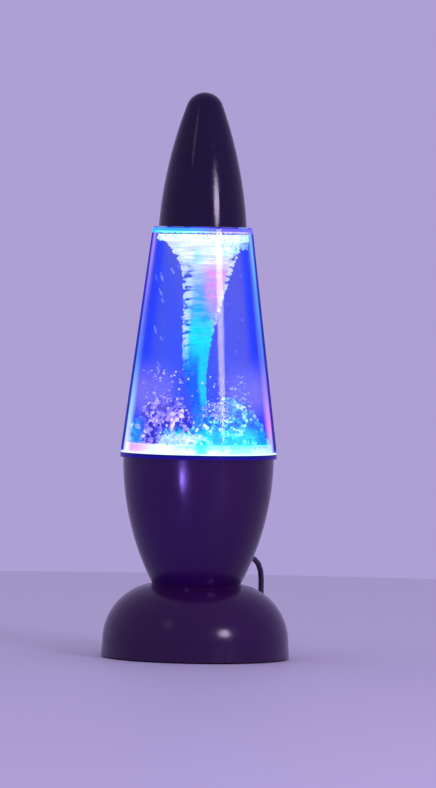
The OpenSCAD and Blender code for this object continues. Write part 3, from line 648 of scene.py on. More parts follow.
@dataclass(frozen=True)
class AcrylicFinish(Finish):
    """Clear acrylic that carries the lamp's light: bright walls, navy outline, a lit band at the top."""

    name: str = "clear_acrylic"
    clear: Colour = (0.97, 0.98, 1.0)
    outline: Colour = (0.05, 0.05, 0.55)
    glow: Colour = (0.0, 0.005, 1.0)
    strength: float = 11.0
    tint: Colour = (0.04, 0.06, 0.6)
    density: float = 110.0
    left_wall: Stops = (
        (0.0, (0.7, 0.85, 0.95)), (0.14, (0.4, 0.75, 0.95)), (0.42, (0.06, 0.24, 0.95)),
        (0.7, (0.14, 0.15, 0.95)), (1.0, (0.4, 0.26, 0.95)))
    right_wall: Stops = (
        (0.0, (0.5, 0.5, 0.9)), (0.1, (0.85, 0.28, 0.7)), (0.24, (0.5, 0.3, 0.95)),
        (0.42, (0.08, 0.22, 0.95)), (0.7, (0.06, 0.36, 0.95)), (1.0, (0.16, 0.5, 0.95)))
    left_band: Colour = (0.04, 0.5, 0.95)
    right_band: Colour = (0.19, 0.17, 1.3)
    band_bottom: float = 0.2550
    band_top: float = 0.2590
    coat: float = 0.36
    coat_ior: float = 1.5
    ior: float = 1.03
    shine: float = 0.9

    def values(self, sketch: MaterialSketch, kit: EffectKit) -> Values:
        """Draws the look.

        Args:
            sketch: the material to draw in.
            kit: the shared effects.

        Returns:
            The values of its shader.
        """
        skin = sketch.effect(kit.moulded, {"Roughness": 0.02, "Marks": 0.03, "Grain": 300.0})
        lit = sketch.effect(kit.lit, {"Bottom": self.band_bottom, "Top": self.band_top, "Veil": 60.0})
        whole = sketch.effect(kit.lit, {"Veil": 45.0})
        sketch.fill(self.tint, self.density, self.glow, self.strength)
        outside = sketch.reach(WALL_OUTSIDE).eased(0.965, 0.985)
        turned = sketch.facing()
        wall = turned.window(0.5, 0.64, 0.68, 0.78) * outside * (0.75 + whole["Veils"] * 0.25)
        left, right = (sketch.ramp(whole["Level"], stops) for stops in (self.left_wall, self.right_wall))
        walls = sketch.blend(wall, BLACK, sketch.blend(lit["Side"].eased(-0.1, 0.1), left, right))
        across = sketch.blend(lit["Side"].eased(-0.35, 0.3), self.left_band, self.right_band)
        light = sketch.blend(lit["Level"].window(0.02, 0.15, 0.78, 0.95), walls, across)
        clear = sketch.blend(turned.eased(0.62, 0.78), self.clear, self.outline)
        return {"Base Color": clear, "Roughness": skin["Roughness"], "IOR": self.ior,
                "Transmission Weight": 1.0, "Coat Weight": (1.0 - turned.eased(0.3, 0.75)) * self.coat,
                "Coat Roughness": 0.05, "Coat IOR": self.coat_ior, "Emission Color": light,
                "Emission Strength": self.shine}


@dataclass(frozen=True)
class WaterFinish(Finish):
    """Water lit from below: blue, more violet to the right and over the foam, deep blue along the wall."""

    name: str = "lit_water_body"
    left_body: Colour = (0.015, 0.07, 0.7)
    right_body: Colour = (0.15, 0.11, 0.62)
    violet: Colour = (0.12, 0.1, 0.64)
    deep: Colour = (0.0, 0.06, 0.95)
    low: Colour = (0.4, 0.32, 0.78)
    dull: Colour = (0.0, 0.02, 0.25)
    dulling: float = 0.8
    roughness: float = 0.08
    shine: float = 0.95
    alpha: float = 0.27
    glow: Colour = (0.0, 0.13, 1.0)
    strength: float = 5.6
    tint: Colour = (0.2, 0.55, 1.0)
    density: float = 20.0

    def values(self, sketch: MaterialSketch, kit: EffectKit) -> Values:
        """Draws the look.

        Args:
            sketch: the material to draw in.
            kit: the shared effects.

        Returns:
            The values of its shader.
        """
        lit = sketch.effect(kit.lit, {"Veil": 30.0})
        skin = sketch.reach(WALL_INSIDE).eased(0.955, 0.985)
        sketch.fill(self.tint, self.density, self.glow, self.strength)
        band = sketch.facing().window(0.3, 0.5, 0.62, 0.74)
        sided = sketch.blend(lit["Side"].eased(0.05, 0.4), self.left_body, self.right_body)
        veiled = sketch.blend(lit["Veils"] * 0.3, sided, self.violet)
        banded = sketch.blend(band, veiled, self.deep)
        haze = lit["Level"].window(0.08, 0.24, 0.26, 0.46) * (lit["Side"] * lit["Side"]).eased(0.04, 0.22)
        colour = sketch.blend(haze * 0.85, banded, self.low)
        alpha = (lit["Veils"] * 0.1 + band * 0.3 + haze * 0.16 + self.alpha) * skin
        return {"Base Color": sketch.blend(self.dulling, colour, self.dull), "Roughness": self.roughness,
                "Specular IOR Level": 0.0, "Alpha": alpha, "Emission Color": colour,
                "Emission Strength": self.shine}


@dataclass(frozen=True)
class WhirlFinish(Finish):
    """The whirl: white foam at the rim, rosy below it, then cyan, and deep blue at its foot."""

    name: str = "whirl_foam"
    rise: Stops = (
        (0.0, (0.0, 0.3, 0.7)), (0.12, (0.0, 0.12, 0.7)), (0.26, (0.0, 0.13, 0.75)),
        (0.34, (0.0, 0.4, 0.75)), (0.42, (0.0, 0.85, 0.75)), (0.5, (0.0, 0.75, 0.7)),
        (0.57, (0.0, 0.5, 0.65)), (0.66, (0.1, 0.4, 0.75)), (0.74, (0.32, 0.46, 0.75)),
        (0.82, (0.62, 0.68, 0.78)), (1.0, (0.8, 0.88, 0.8)))
    cyan: Colour = (0.0, 0.75, 0.8)
    warm: Colour = (0.78, 0.84, 0.56)
    cool: Colour = (0.38, 0.8, 0.62)
    rose: Colour = (0.95, 0.28, 0.58)
    shadow: Colour = (0.0, 0.01, 0.2)
    shine: float = 1.7
    roughness: float = 0.35
    relief: float = 0.0006

    def values(self, sketch: MaterialSketch, kit: EffectKit) -> Values:
        """Draws the look.

        Args:
            sketch: the material to draw in.
            kit: the shared effects.

        Returns:
            The values of its shader.
        """
        lit = sketch.effect(kit.lit, {"Bottom": WHIRL_FOOT, "Top": WHIRL_RIM, "Veil": 120.0})
        level, crest, turn = lit["Level"], sketch.attribute("crest"), sketch.attribute("turn")
        strands = sketch.noise(sketch.stretched(sketch.place(), (26.0, 26.0, 620.0)), 1.0, 3.0, 0.6)
        clots = sketch.noise(sketch.stretched(sketch.place(), (1.0, 1.0, 1.8)), 95.0, 2.0)
        white = sketch.blend(clots.eased(0.52, 0.68), self.warm, self.cool)
        plain = sketch.ramp(level + (lit["Veils"] - 0.5) * 0.08, self.rise)
        stream = turn.eased(0.05, 0.5) * level.eased(0.06, 0.16) * (1.0 - level.eased(0.36, 0.46))
        streamed = sketch.blend(stream * 0.85, plain, self.cyan)
        rosy = (turn.eased(-0.3, 0.1) * (level + turn * 0.17).eased(0.63, 0.75)
                * (1.0 - level.eased(0.83, 0.91)))
        flushed = sketch.blend(rosy * (0.55 + lit["Veils"] * 0.4), streamed, self.rose)
        edge = (turn * -1.0).eased(0.4, 0.8) + turn.eased(0.72, 0.95) * level.eased(0.45, 0.6)
        teeth = crest.eased(0.35, 0.8) * edge * level.eased(0.3, 0.42) * 0.9
        froth = (crest.eased(0.6, 0.95) * level.eased(0.45, 0.75) * (0.45 - rosy * 0.3)
                 + strands.eased(0.58, 0.74) * 0.12)
        crown = level.eased(0.8, 0.9) * (0.75 + strands * 0.4)
        bright = sketch.blend((teeth + froth + crown).least(1.0), flushed, white)
        # Painted shade: the grooves between ridges, the gaps between crests at the left and right sides, and
        # a thin line along those sides darken toward the shadow colour
        groove = ((1.0 - crest.eased(0.05, 0.45)) * (0.5 - rosy * 0.3)
                  + (1.0 - crest.eased(0.4, 0.65)) * edge * 0.7)
        brink = (turn * turn).eased(0.84, 0.97) * (1.0 - crest.eased(0.45, 0.75)) * level.eased(0.5, 0.6)
        dark = groove * (1.0 - level.eased(0.8, 0.92)) + brink * (1.0 - level.eased(0.9, 0.95))
        colour = sketch.blend(dark.least(0.92), bright, self.shadow)
        return {**glowing(colour, self.shine, self.roughness),
                "Normal": sketch.bump(strands, self.relief, 0.7)}


@dataclass(frozen=True)
class BubbleFinish(Finish):
    """Loose bubbles that catch the light of the lamp."""

    dark: Colour
    light: Colour
    shine: float
    roughness: float = 0.12

    def values(self, sketch: MaterialSketch, kit: EffectKit) -> Values:
        """Draws the look.

        Args:
            sketch: the material to draw in.
            kit: the shared effects.

        Returns:
            The values of its shader.
        """
        veils = sketch.effect(kit.lit, {"Veil": 160.0})["Veils"]
        share = sketch.attribute("tone") * 1.1 + veils * 0.5 - 0.35
        colour = sketch.blend(share.eased(0.1, 0.9), self.dark, self.light)
        return glowing(colour, self.shine, self.roughness)


@dataclass(frozen=True)
class FoamFinish(Finish):
    """Heaped foam: lavender with dark gaps at the left, cyan and white at the right, cyan on the floor."""

    name: str = "heaped_foam"
    left: Stops = (
        (0.0, (0.004, 0.0, 0.13)), (0.25, (0.02, 0.01, 0.26)), (0.4, (0.28, 0.19, 0.58)),
        (0.8, (0.56, 0.4, 0.78)), (1.0, (0.95, 0.75, 0.9)))
    right: Stops = (
        (0.0, (0.0, 0.06, 0.5)), (0.3, (0.0, 0.3, 0.7)), (0.7, (0.08, 0.72, 0.75)), (1.0, (0.85, 0.9, 0.75)))
    floor: Stops = (
        (0.0, (0.0, 0.42, 0.55)), (0.5, (0.0, 0.62, 0.6)), (0.85, (0.0, 0.74, 0.62)),
        (1.0, (0.25, 0.8, 0.62)))
    floor_heights: Pair = (0.136, 0.142)
    corner_heights: Pair = (0.139, 0.149)
    shine: float = 2.0
    roughness: float = 0.15

    def values(self, sketch: MaterialSketch, kit: EffectKit) -> Values:
        """Draws the look.

        Args:
            sketch: the material to draw in.
            kit: the shared effects.

        Returns:
            The values of its shader.
        """
        lit = sketch.effect(kit.lit, {"Veil": 110.0})
        side, veils = lit["Side"], lit["Veils"]
        _, _, z = sketch.split(sketch.place())
        share = (sketch.attribute("tone") * 0.9 + veils * 0.4 - 0.18).eased(0.05, 0.95)
        left, right, floor = (sketch.ramp(share, stops) for stops in (self.left, self.right, self.floor))
        sided = sketch.blend((side + veils * 0.12).eased(-0.06, 0.14), left, right)
        low = (1.0 - (z + veils * 0.004).eased(*self.floor_heights)) * side.eased(-0.62, -0.2)
        corner = (side * -1.0).eased(0.7, 0.84) * (1.0 - z.eased(*self.corner_heights))
        froth = sketch.ramp(share * 0.6 + 0.4, self.right)
        colour = sketch.blend(corner * 0.85, sketch.blend(low, sided, floor), froth)
        return glowing(colour, self.shine, self.roughness)


@dataclass(frozen=True)
class LitFloorFinish(Finish):
    """The milky floor over the lights: white, with pink and cyan where single lights shine through."""

    name: str = "lit_floor"
    whites: tuple[Colour, Colour] = ((0.8, 1.0, 1.0), (1.0, 1.0, 0.98))
    mints: tuple[Colour, Colour] = ((0.3, 0.93, 0.9), (0.68, 0.98, 0.95))
    pink: Colour = (1.0, 0.52, 0.95)
    cyan: Colour = (0.0, 0.85, 0.95)
    wash: Colour = (0.05, 0.8, 0.95)
    rim: Stops = ((0.0, (0.012, 0.001, 0.06)), (0.5, (0.002, 0.0, 0.17)), (1.0, (0.0, 0.001, 0.06)))
    rim_heights: Pair = (0.1203, 0.1234)
    top_heights: Pair = (0.1232, 0.1238)
    wash_heights: Pair = (0.1262, 0.1276)
    shine: float = 1.2
    roughness: float = 0.3
    specular: float = 0.15

    def values(self, sketch: MaterialSketch, kit: EffectKit) -> Values:
        """Draws the look.

        Args:
            sketch: the material to draw in.
            kit: the shared effects.

        Returns:
            The values of its shader.
        """
        lit = sketch.effect(kit.lit, {"Veil": 55.0})
        side, veils = lit["Side"], lit["Veils"]
        white = sketch.blend(veils, *self.whites)
        mint = sketch.blend(veils.eased(0.35, 0.7), *self.mints)
        pale = sketch.blend(side.eased(0.15, 0.4) * 0.85, white, mint)
        rosy = sketch.blend((side * -1.0).eased(0.55, 0.85), pale, self.pink)
        patched = sketch.blend(side.window(-0.1, 0.02, 0.06, 0.2) * 0.9, rosy, self.cyan)
        _, _, z = sketch.split(sketch.place())
        shore = (z + (sketch.noise(sketch.place(), 190.0, 3.0) - 0.5) * 0.008).eased(*self.wash_heights)
        washed = sketch.blend(shore * side.eased(-0.55, -0.1) * 0.6, patched, self.wash)
        edge = sketch.ramp(z.eased(*self.rim_heights), self.rim)
        colour = sketch.blend(z.eased(*self.top_heights), edge, washed)
        return {**glowing(colour, self.shine, self.roughness), "Specular IOR Level": self.specular}


@dataclass(frozen=True)
class BoardFinish(Finish):
    """A circuit board: solder mask with faint tracks under it."""

    name: str = "circuit_board"
    mask: Colour = (0.01, 0.09, 0.04)
    track: Colour = (0.03, 0.2, 0.09)
    roughness: float = 0.35
    relief: float = 0.00004

    def values(self, sketch: MaterialSketch, kit: EffectKit) -> Values:
        """Draws the look.

        Args:
            sketch: the material to draw in.
            kit: the shared effects.

        Returns:
            The values of its shader.
        """
        skin = sketch.effect(kit.moulded, {"Tone": self.mask, "Roughness": self.roughness, "Grain": 900.0})
        tracks = sketch.cells(sketch.place(), 260.0, "DISTANCE_TO_EDGE").eased(0.05, 0.09)
        return {"Base Color": sketch.blend(tracks, self.track, skin["Colour"]),
                "Roughness": skin["Roughness"], "Normal": sketch.bump(tracks, self.relief)}


@dataclass(frozen=True)
class LampDomeFinish(Finish):
    """Clear domes of the lights, each with its own colour."""

    name: str = "light_domes"
    round_the_board: Stops = (
        (0.0, (0.1, 0.2, 1.0)), (0.2, (0.0, 0.7, 1.0)), (0.45, (1.0, 0.4, 0.8)), (0.7, (0.8, 0.95, 1.0)),
        (1.0, (0.1, 0.2, 1.0)))
    shine: float = 2.0

    def values(self, sketch: MaterialSketch, kit: EffectKit) -> Values:
        """Draws the look.

        Args:
            sketch: the material to draw in.
            kit: not used.

        Returns:
            The values of its shader.
        """
        x, y, _ = sketch.split(sketch.place())
        colour = sketch.ramp(sketch.math("ARCTAN2", y, x) / TURN + 0.5, self.round_the_board)
        return glowing(colour, self.shine, sketch.noise(sketch.place(), 500.0) * 0.2 + 0.05)


@dataclass(frozen=True)
class WireFinish(Finish):
    """Thin leads inside the base, red on one side and black on the other."""

    name: str = "wire_sheath"
    red: Colour = (0.4, 0.02, 0.02)
    black: Colour = (0.02, 0.02, 0.022)
    border: Pair = (-0.002, -0.0018)
    roughness: float = 0.4
    relief: float = 0.00002

    def values(self, sketch: MaterialSketch, kit: EffectKit) -> Values:
        """Draws the look.

        Args:
            sketch: the material to draw in.
            kit: the shared effects.

        Returns:
            The values of its shader.
        """
        red, black = (sketch.effect(kit.moulded, {"Tone": tone, "Roughness": self.roughness})
                      for tone in (self.red, self.black))
        x, _, _ = sketch.split(sketch.place())
        return {"Base Color": sketch.blend(x.eased(*self.border), black["Colour"], red["Colour"]),
                "Roughness": red["Roughness"], "Normal": sketch.bump(red["Height"], self.relief)}


GLOSS = MouldedFinish("aubergine_gloss", (0.021, 0.0012, 0.05), 0.2, cloud=0.12, marks=0.09, grain=700.0,
                      relief=0.000012, specular=0.28, dust=0.08)
# The cap's copy of the same gloss plastic, with a darker tone as painted shade
CAP_GLOSS_SHADED = replace(GLOSS, name="aubergine_gloss_cap", tone=(0.0075, 0.0006, 0.03), roughness=0.12)
BASE = MouldedFinish("base_matt", (0.014, 0.006, 0.022), 0.55, grain=2600.0, relief=0.00008)
WHITE = MouldedFinish("satin_white", (0.78, 0.79, 0.8), 0.4, cloud=0.06)
DARK = MouldedFinish("dark_plastic_matt", (0.022, 0.02, 0.026), 0.5, grain=2400.0, relief=0.00006)
RUBBER = MouldedFinish("soft_rubber", (0.02, 0.019, 0.022), 0.72, grain=1800.0, relief=0.00008, dust=0.4)
SEAL = MouldedFinish("red_seal", (0.32, 0.03, 0.02), 0.6)
SILICONE = MouldedFinish("lit_silicone", (0.62, 0.86, 1.0), 0.35, cloud=0.25, glow=0.75)
SHEATH = MouldedFinish("cord_sheath", (0.02, 0.009, 0.046), 0.42, grain=3200.0, relief=0.00005, dust=0.3)
STRAP = MouldedFinish("woven_strap", (0.03, 0.028, 0.035), 0.8, grain=2200.0, relief=0.0003)
STEEL = MetalFinish("zinc_steel", (0.62, 0.62, 0.64), 0.28)
MAGNET = MetalFinish("plated_magnet", (0.7, 0.7, 0.72), 0.15, 1200.0)
BRASS = MetalFinish("tinned_brass", (0.72, 0.52, 0.22), 0.25)

NODE_FINISHES: dict[str, Finish] = {
    "base_plate": BASE, "pads": RUBBER, "stopper": RUBBER, "strain_relief": RUBBER, "gasket": SILICONE,
    "stopper_washer": SEAL, "impeller": WHITE, "keeper": WHITE, "drive_disc": WHITE, "plug_tongue": WHITE,
    "bracket": DARK, "motor_end": DARK, "switch_body": DARK, "switch_button": DARK, "plug_grip": SHEATH,
    "spindle": STEEL, "motor_shaft": STEEL, "motor_can": STEEL, "switch_nut": STEEL, "plug_shell": STEEL,
    "impeller_magnets": MAGNET, "drive_magnets": MAGNET, "motor_terminals": BRASS, "switch_terminals": BRASS,
    "light_board": BoardFinish(), "lights_group": LampDomeFinish(), "wiring": WireFinish(),
    "water": WaterFinish(),
}


class FinishShelf:
    """Materials that have been built so far, one for each finish."""

    def __init__(self) -> None:
        """Builds the shared effects."""
        self.kit = EffectKit()
        self.made: dict[Finish, Material] = {}

    def get(self, finish: Finish) -> Material:
        """Builds the material of a finish at its first use.

        Args:
            finish: the finish.

        Returns:
            Its material.
        """
        if finish not in self.made:
            self.made[finish] = finish.material(self.kit)
        return self.made[finish]


# Pieces


def add_piece(name: str, data: ID, body: Body, stands_for: Sequence[str] = ()) -> Object:
    """Links a piece into the scene, parents it to its body and hides the frame nodes that it replaces.

    Args:
        name: the piece's name.
        data: its mesh or curve, already in place.
        body: the body that it rides on.
        stands_for: frame nodes that it replaces.

    Returns:
        The object.
    """
    piece = link_object(name, data)
    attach(piece, body.value)
    if stands_for:
        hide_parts(*stands_for)
    LOG.info("piece %s rides on %s", name, body.value)
    return piece


def dress_node(node: Object, material: Material) -> None:
    """Gives a frame node its material.

    Args:
        node: the frame's object.
        material: its only material.
    """
    node.data.materials.clear()
    node.data.materials.append(material)
    LOG.info("node %s wears %s", node.name, material.name)


def mesh_from(name: str, build: bmesh.types.BMesh, material: Material) -> Mesh:
    """Turns a built mesh into mesh data with smooth faces and sharp creases.

    Args:
        name: name of the mesh.
        build: what was built; it is freed.
        material: its only material.

    Returns:
        The mesh.
    """
    made = bpy.data.meshes.new(name)
    build.to_mesh(made)
    build.free()
    made.materials.append(material)
    made.polygons.foreach_set("use_smooth", [True] * len(made.polygons))
    made.set_sharp_from_angle(angle=CREASE)
    return made


@dataclass
class PhotoCamera:
    """A long lens level with the top of the vessel, as in the photograph."""

    lens: float = 281.2
    sensor: float = 36.0
    distance: float = 3.7
    height: float = 0.2590
    aside: float = 0.0110
    pitch_deg: float = 1.549
    roll_deg: float = 1.05
    clip: Pair = (0.1, 40.0)

    def build(self) -> Object:
        """Adds the camera to the scene.

        Returns:
            The camera.
        """
        data = bpy.data.cameras.new("camera")
        data.lens, data.sensor_width = self.lens, self.sensor
        data.clip_start, data.clip_end = self.clip
        camera = link_object("camera", data)
        level = Matrix.Rotation(radians(90.0 - self.pitch_deg), 4, "X")
        roll = Matrix.Rotation(radians(self.roll_deg), 4, "Z")
        camera.matrix_world = Matrix.Translation((self.aside, -self.distance, self.height)) @ level @ roll
        bpy.context.scene.camera = camera
        return camera


@dataclass(frozen=True)
class Softbox:
    """An oval area light that faces the lamp: degrees to the right of the camera and above the horizon."""

    name: str
    azimuth_deg: float
    elevation_deg: float
    distance: float
    size: Pair
    watts: float
    colour: Colour
    only_on: str = ""

    def build(self, aim: Vector) -> Object:
        """Adds the light, which the camera itself doesn't see.

        Args:
            aim: the point that it faces.

        Returns:
            The light.
        """
        data = bpy.data.lights.new(self.name, "AREA")
        data.shape = "ELLIPSE"
        data.size, data.size_y = self.size
        data.energy, data.color = self.watts, self.colour
        light = link_object(self.name, data)
        light.visible_camera = False
        a, e = radians(self.azimuth_deg), radians(self.elevation_deg)
        way = Vector((sin(a) * cos(e), -cos(a) * cos(e), sin(e)))
        light.location = aim + way * self.distance
        light.rotation_mode = "QUATERNION"
        light.rotation_quaternion = (-way).to_track_quat("-Z", "Y")
        if self.only_on:
            lit = bpy.data.collections.new(f"{self.name}_on_{self.only_on}")
            lit.objects.link(bpy.data.objects[self.only_on])
            light.light_linking.receiver_collection = lit
        return light


@dataclass
class Studio:
    """Pale table, plain backdrop and soft light."""

    table_radius: float = 0.9
    table_sides: int = 128
    table_colours: tuple[Colour, Colour] = ((0.50, 0.43, 0.72), (0.44, 0.38, 0.64))
    backdrop: Colour = (0.42, 0.35, 0.66)
    ambient: Colour = (0.95, 0.93, 1.0)
    ambient_level: float = 0.72
    aim_height: float = 0.17
    lights: Sequence[Softbox] = (
        Softbox("key_softbox", 38.0, 17.0, 2.0, (0.47, 0.47), 13.5, (0.84, 0.7, 1.0)),
        Softbox("side_softbox", -40.0, 34.0, 2.2, (0.3, 0.6), 0.55, (0.9, 0.85, 1.0)),
        Softbox("low_accent", -22.8, -15.4, 0.52, (0.012, 0.045), 1.2, (0.3, 0.18, 1.0), only_on="cup"),
    )

    def build(self) -> None:
        """Adds the table, the world and the lights."""
        self._table()
        self._world()
        for light in self.lights:
            light.build(Vector((0.0, 0.0, self.aim_height)))
        bpy.context.scene.view_settings.view_transform = "Standard"

    def _table(self) -> None:
        """Adds a round table top with a faint grain."""
        build = bmesh.new()
        bmesh.ops.create_circle(build, cap_ends=True, radius=self.table_radius, segments=self.table_sides)
        sketch = MaterialSketch("table_paint")
        tone = sketch.blend(sketch.noise(sketch.place(), 9.0, 4.0) * 0.12, *self.table_colours)
        material = sketch.dress({"Base Color": tone, "Roughness": 0.55, "Specular IOR Level": 0.3,
                                 "Normal": sketch.bump(sketch.noise(sketch.place(), 500.0), 0.00003, 0.4)})
        link_object("table", mesh_from("table", build, material))

    def _world(self) -> None:
        """Adds a plain backdrop for the eye and for reflections, and soft white light for the rest."""
        world = bpy.data.worlds.new("studio")
        world.use_nodes = True
        bpy.context.scene.world = world
        sketch = NodeSketch(world.node_tree)
        world.node_tree.nodes.clear()
        path = sketch.add("ShaderNodeLightPath")
        seen = Signal(sketch, path.outputs["Is Camera Ray"])
        for kind in ("Is Glossy Ray", "Is Transmission Ray"):
            seen = seen.most(Signal(sketch, path.outputs[kind]))
        light = sketch.out("ShaderNodeBackground", {"Color": self.ambient, "Strength": self.ambient_level})
        wall = sketch.out("ShaderNodeBackground", {"Color": self.backdrop, "Strength": 1.0})
        both = sketch.out("ShaderNodeMixShader", {0: seen, 1: light, 2: wall})
        sketch.add("ShaderNodeOutputWorld", {"Surface": both})


@dataclass
class PowerCord:
    """The lead: out of its strain relief, down to the table, round its coil and into the plug."""

    diameter: float = 0.0034
    route_mm: Sequence[Point] = (
        (30, 48, 58), (32, 51.2, 58), (35, 56, 57), (37.5, 60, 54), (39, 62.5, 49.5), (39.5, 63.5, 44),
        (39.5, 64, 36), (39.5, 64, 28), (39.5, 64.5, 20), (40, 66, 13.5), (40.5, 69.5, 8), (41, 74.5, 4.5),
        (41.5, 80.5, 2.8), (42, 85, 2.6), (42, 88.6, 2.6),
    )
    tail_mm: Sequence[Point] = (
        (11.6, 119, 6.5), (9.5, 119, 6.5), (6, 119, 5.8), (3, 119, 4.8), (0, 119, 4.2), (-2, 119, 4.2))
    coil_centre_mm: Pair = (15.0, 92.0)
    coil_radius_mm: float = 27.0
    coil_height_mm: float = 2.6
    coil_turns: float = 7.25
    coil_step_mm: float = 3.9
    points_per_turn: int = 36
    bevel_steps: int = 4
    tie_angle_deg: float = 205.0
    tie_width: float = 0.007
    tie_thickness: float = 0.0006
    tie_radii: Pair = (0.01056, 0.0293)
    tie_heights: Pair = (0.0007, 0.0085)
    tie_corner: float = 0.0019
    corner_steps: int = 6
    lap_start: float = 0.0135
    lap_step: float = 0.0012
    lap_steps: int = 8
    lap_inset: float = 0.0002
    lap_thickness: float = 0.00045
    contact_inset: float = 0.001

    def coil_point(self, turn: float) -> Point:
        """A point of the coil, in millimetres.

        Args:
            turn: turns from where the lead comes in.

        Returns:
            The point: inwards on the table, up a layer in half a turn, then outwards.
        """
        run = (self.coil_turns - 0.5) / 2.0
        inner = self.coil_radius_mm - run * self.coil_step_mm
        if turn < run:
            radius = self.coil_radius_mm - turn * self.coil_step_mm
        elif turn < run + 0.25:
            radius = inner - (turn - run) * self.coil_step_mm
        else:
            radius = inner + (turn - run - 0.5) * self.coil_step_mm
        rise = self.coil_step_mm * max(0.0, min(1.0, (turn - run) / 0.5))
        x, y = self.coil_centre_mm
        return (x + radius * cos(TURN * turn), y + radius * sin(TURN * turn), self.coil_height_mm + rise)

    def path(self) -> list[Vector]:
        """The whole centreline.

        Returns:
            Its points in metres, from the strain relief to the plug.
        """
        steps = round(self.points_per_turn * self.coil_turns)
        coil = [self.coil_point(self.coil_turns * i / steps) for i in range(steps + 1)]
        return [Vector(p) * MM for p in (*self.route_mm, *coil, *self.tail_mm)]

    def build(self, shelf: FinishShelf) -> Object:
        """Args:
            shelf: the finishes.

        Returns:
            The cord.
        """
        points = self.path()
        curve = bpy.data.curves.new("power_cord", "CURVE")
        curve.dimensions = "3D"
        curve.bevel_depth = self.diameter / 2.0
        curve.bevel_resolution = self.bevel_steps
        curve.use_fill_caps = True
        spline = curve.splines.new("POLY")
        spline.points.add(len(points) - 1)
        for knot, place in zip(spline.points, points):
            knot.co = (*place, 1.0)
        spline.use_smooth = True
        curve.materials.append(shelf.get(SHEATH))
        cord = add_piece("power_cord", curve, Body.LAMP, ("cord_lead", "cord_coil", "cord_tail"))
        tie = self._tie(shelf)
        contacts = self._contacts(shelf)
        return cord

    def _tie(self, shelf: FinishShelf) -> Object:
        """Makes a strap round all the turns at one place, with its end lapped on top.

        Args:
            shelf: the finishes.

        Returns:
            The strap.
        """
        (inner, outer), (low, high), corner = self.tie_radii, self.tie_heights, self.tie_corner
        outline: list[Pair] = []
        for centre, start in (((outer - corner, low + corner), -90), ((outer - corner, high - corner), 0),
                              ((inner + corner, high - corner), 90), ((inner + corner, low + corner), 180)):
            for i in range(self.corner_steps + 1):
                a = radians(start + 90.0 / self.corner_steps * i)
                outline.append((centre[0] + corner * cos(a), centre[1] + corner * sin(a)))
        x, y = (v * MM for v in self.coil_centre_mm)
        turn = Matrix.Translation((x, y, 0.0)) @ Matrix.Rotation(radians(self.tie_angle_deg), 4, "Z")
        build = bmesh.new()
        self._band(build, outline, turn, self.tie_width / 2.0, self.tie_thickness, closed=True)
        lap = [(self.lap_start + self.lap_step * i, high + self.tie_thickness * (1.0 if i else 1.05))
               for i in range(self.lap_steps + 1)]
        lap_half = self.tie_width / 2.0 - self.lap_inset
        self._band(build, lap[::-1], turn, lap_half, self.lap_thickness, closed=False)
        mesh = mesh_from("tie_strap", build, shelf.get(STRAP))
        return add_piece("tie_strap", mesh, Body.LAMP, ("coil_tie",))

    @staticmethod
    def _band(build: bmesh.types.BMesh, line: Sequence[Pair], turn: Matrix, half: float, thickness: float,
              closed: bool) -> None:
        """Adds a flat band along a line in its own radial plane.

        Args:
            build: mesh to add to.
            line: radius and height of its inner face, anticlockwise.
            turn: where the radial plane is.
            half: half its width.
            thickness: its thickness, outwards.
            closed: whether the line closes on itself.
        """
        count = len(line)
        rings = []
        for i, (r, z) in enumerate(line):
            before = line[i - 1] if closed or i else line[i]
            after = line[(i + 1) % count] if closed or i < count - 1 else line[i]
            along = Vector((after[0] - before[0], after[1] - before[1])).normalized()
            out = Vector((along.y, -along.x)) * thickness
            corners = ((0.0, -half), (0.0, half), (1.0, half), (1.0, -half))
            rings.append([build.verts.new(turn @ Vector((r + out.x * k, w, z + out.y * k)))
                          for k, w in corners])
        for i in range(count if closed else count - 1):
            first, second = rings[i], rings[(i + 1) % count]
            for k in range(4):
                build.faces.new((first[k], first[(k + 1) % 4], second[(k + 1) % 4], second[k]))
        if not closed:
            build.faces.new(rings[0][::-1])
            build.faces.new(rings[-1])
        bmesh.ops.recalc_face_normals(build, faces=build.faces[:])

    def _contacts(self, shelf: FinishShelf) -> Object:
        """Makes four flat contacts that lie on the plug's tongue.

        Args:
            shelf: the finishes.

        Returns:
            The contacts.
        """
        low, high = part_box("plug_tongue")
        tree = GeometrySketch("contact_row", {
            "Count": 4, "Pitch": 0.0022, "Length": 0.008, "Width": 0.001, "Thickness": 0.00012,
            "Start X": 0.0, "Middle Y": 0.0, "Base Z": 0.0})
        size = tree.vector(tree["Length"], tree["Width"], tree["Thickness"])
        bar = tree.out("GeometryNodeMeshCube", {"Size": size})
        first = tree["Middle Y"] - (tree["Count"] - 1.0) * tree["Pitch"] / 2.0
        start = tree.vector(tree["Start X"] + tree["Length"] / 2.0, first,
                            tree["Base Z"] + tree["Thickness"] / 2.0)
        row = tree.out("GeometryNodeMeshLine", {"Count": tree["Count"], "Start Location": start,
                                                "Offset": tree.vector(0.0, tree["Pitch"], 0.0)})
        tree.finish(tree.step("GeometryNodeInstanceOnPoints", row, {"Instance": bar}))
        mesh = tree.mesh("plug_contacts", {
            "Start X": low.x + self.contact_inset, "Middle Y": (low.y + high.y) / 2.0, "Base Z": high.z,
            "Material": shelf.get(BRASS)})
        mesh.set_sharp_from_angle(angle=CREASE)
        return add_piece("plug_contacts", mesh, Body.LAMP)


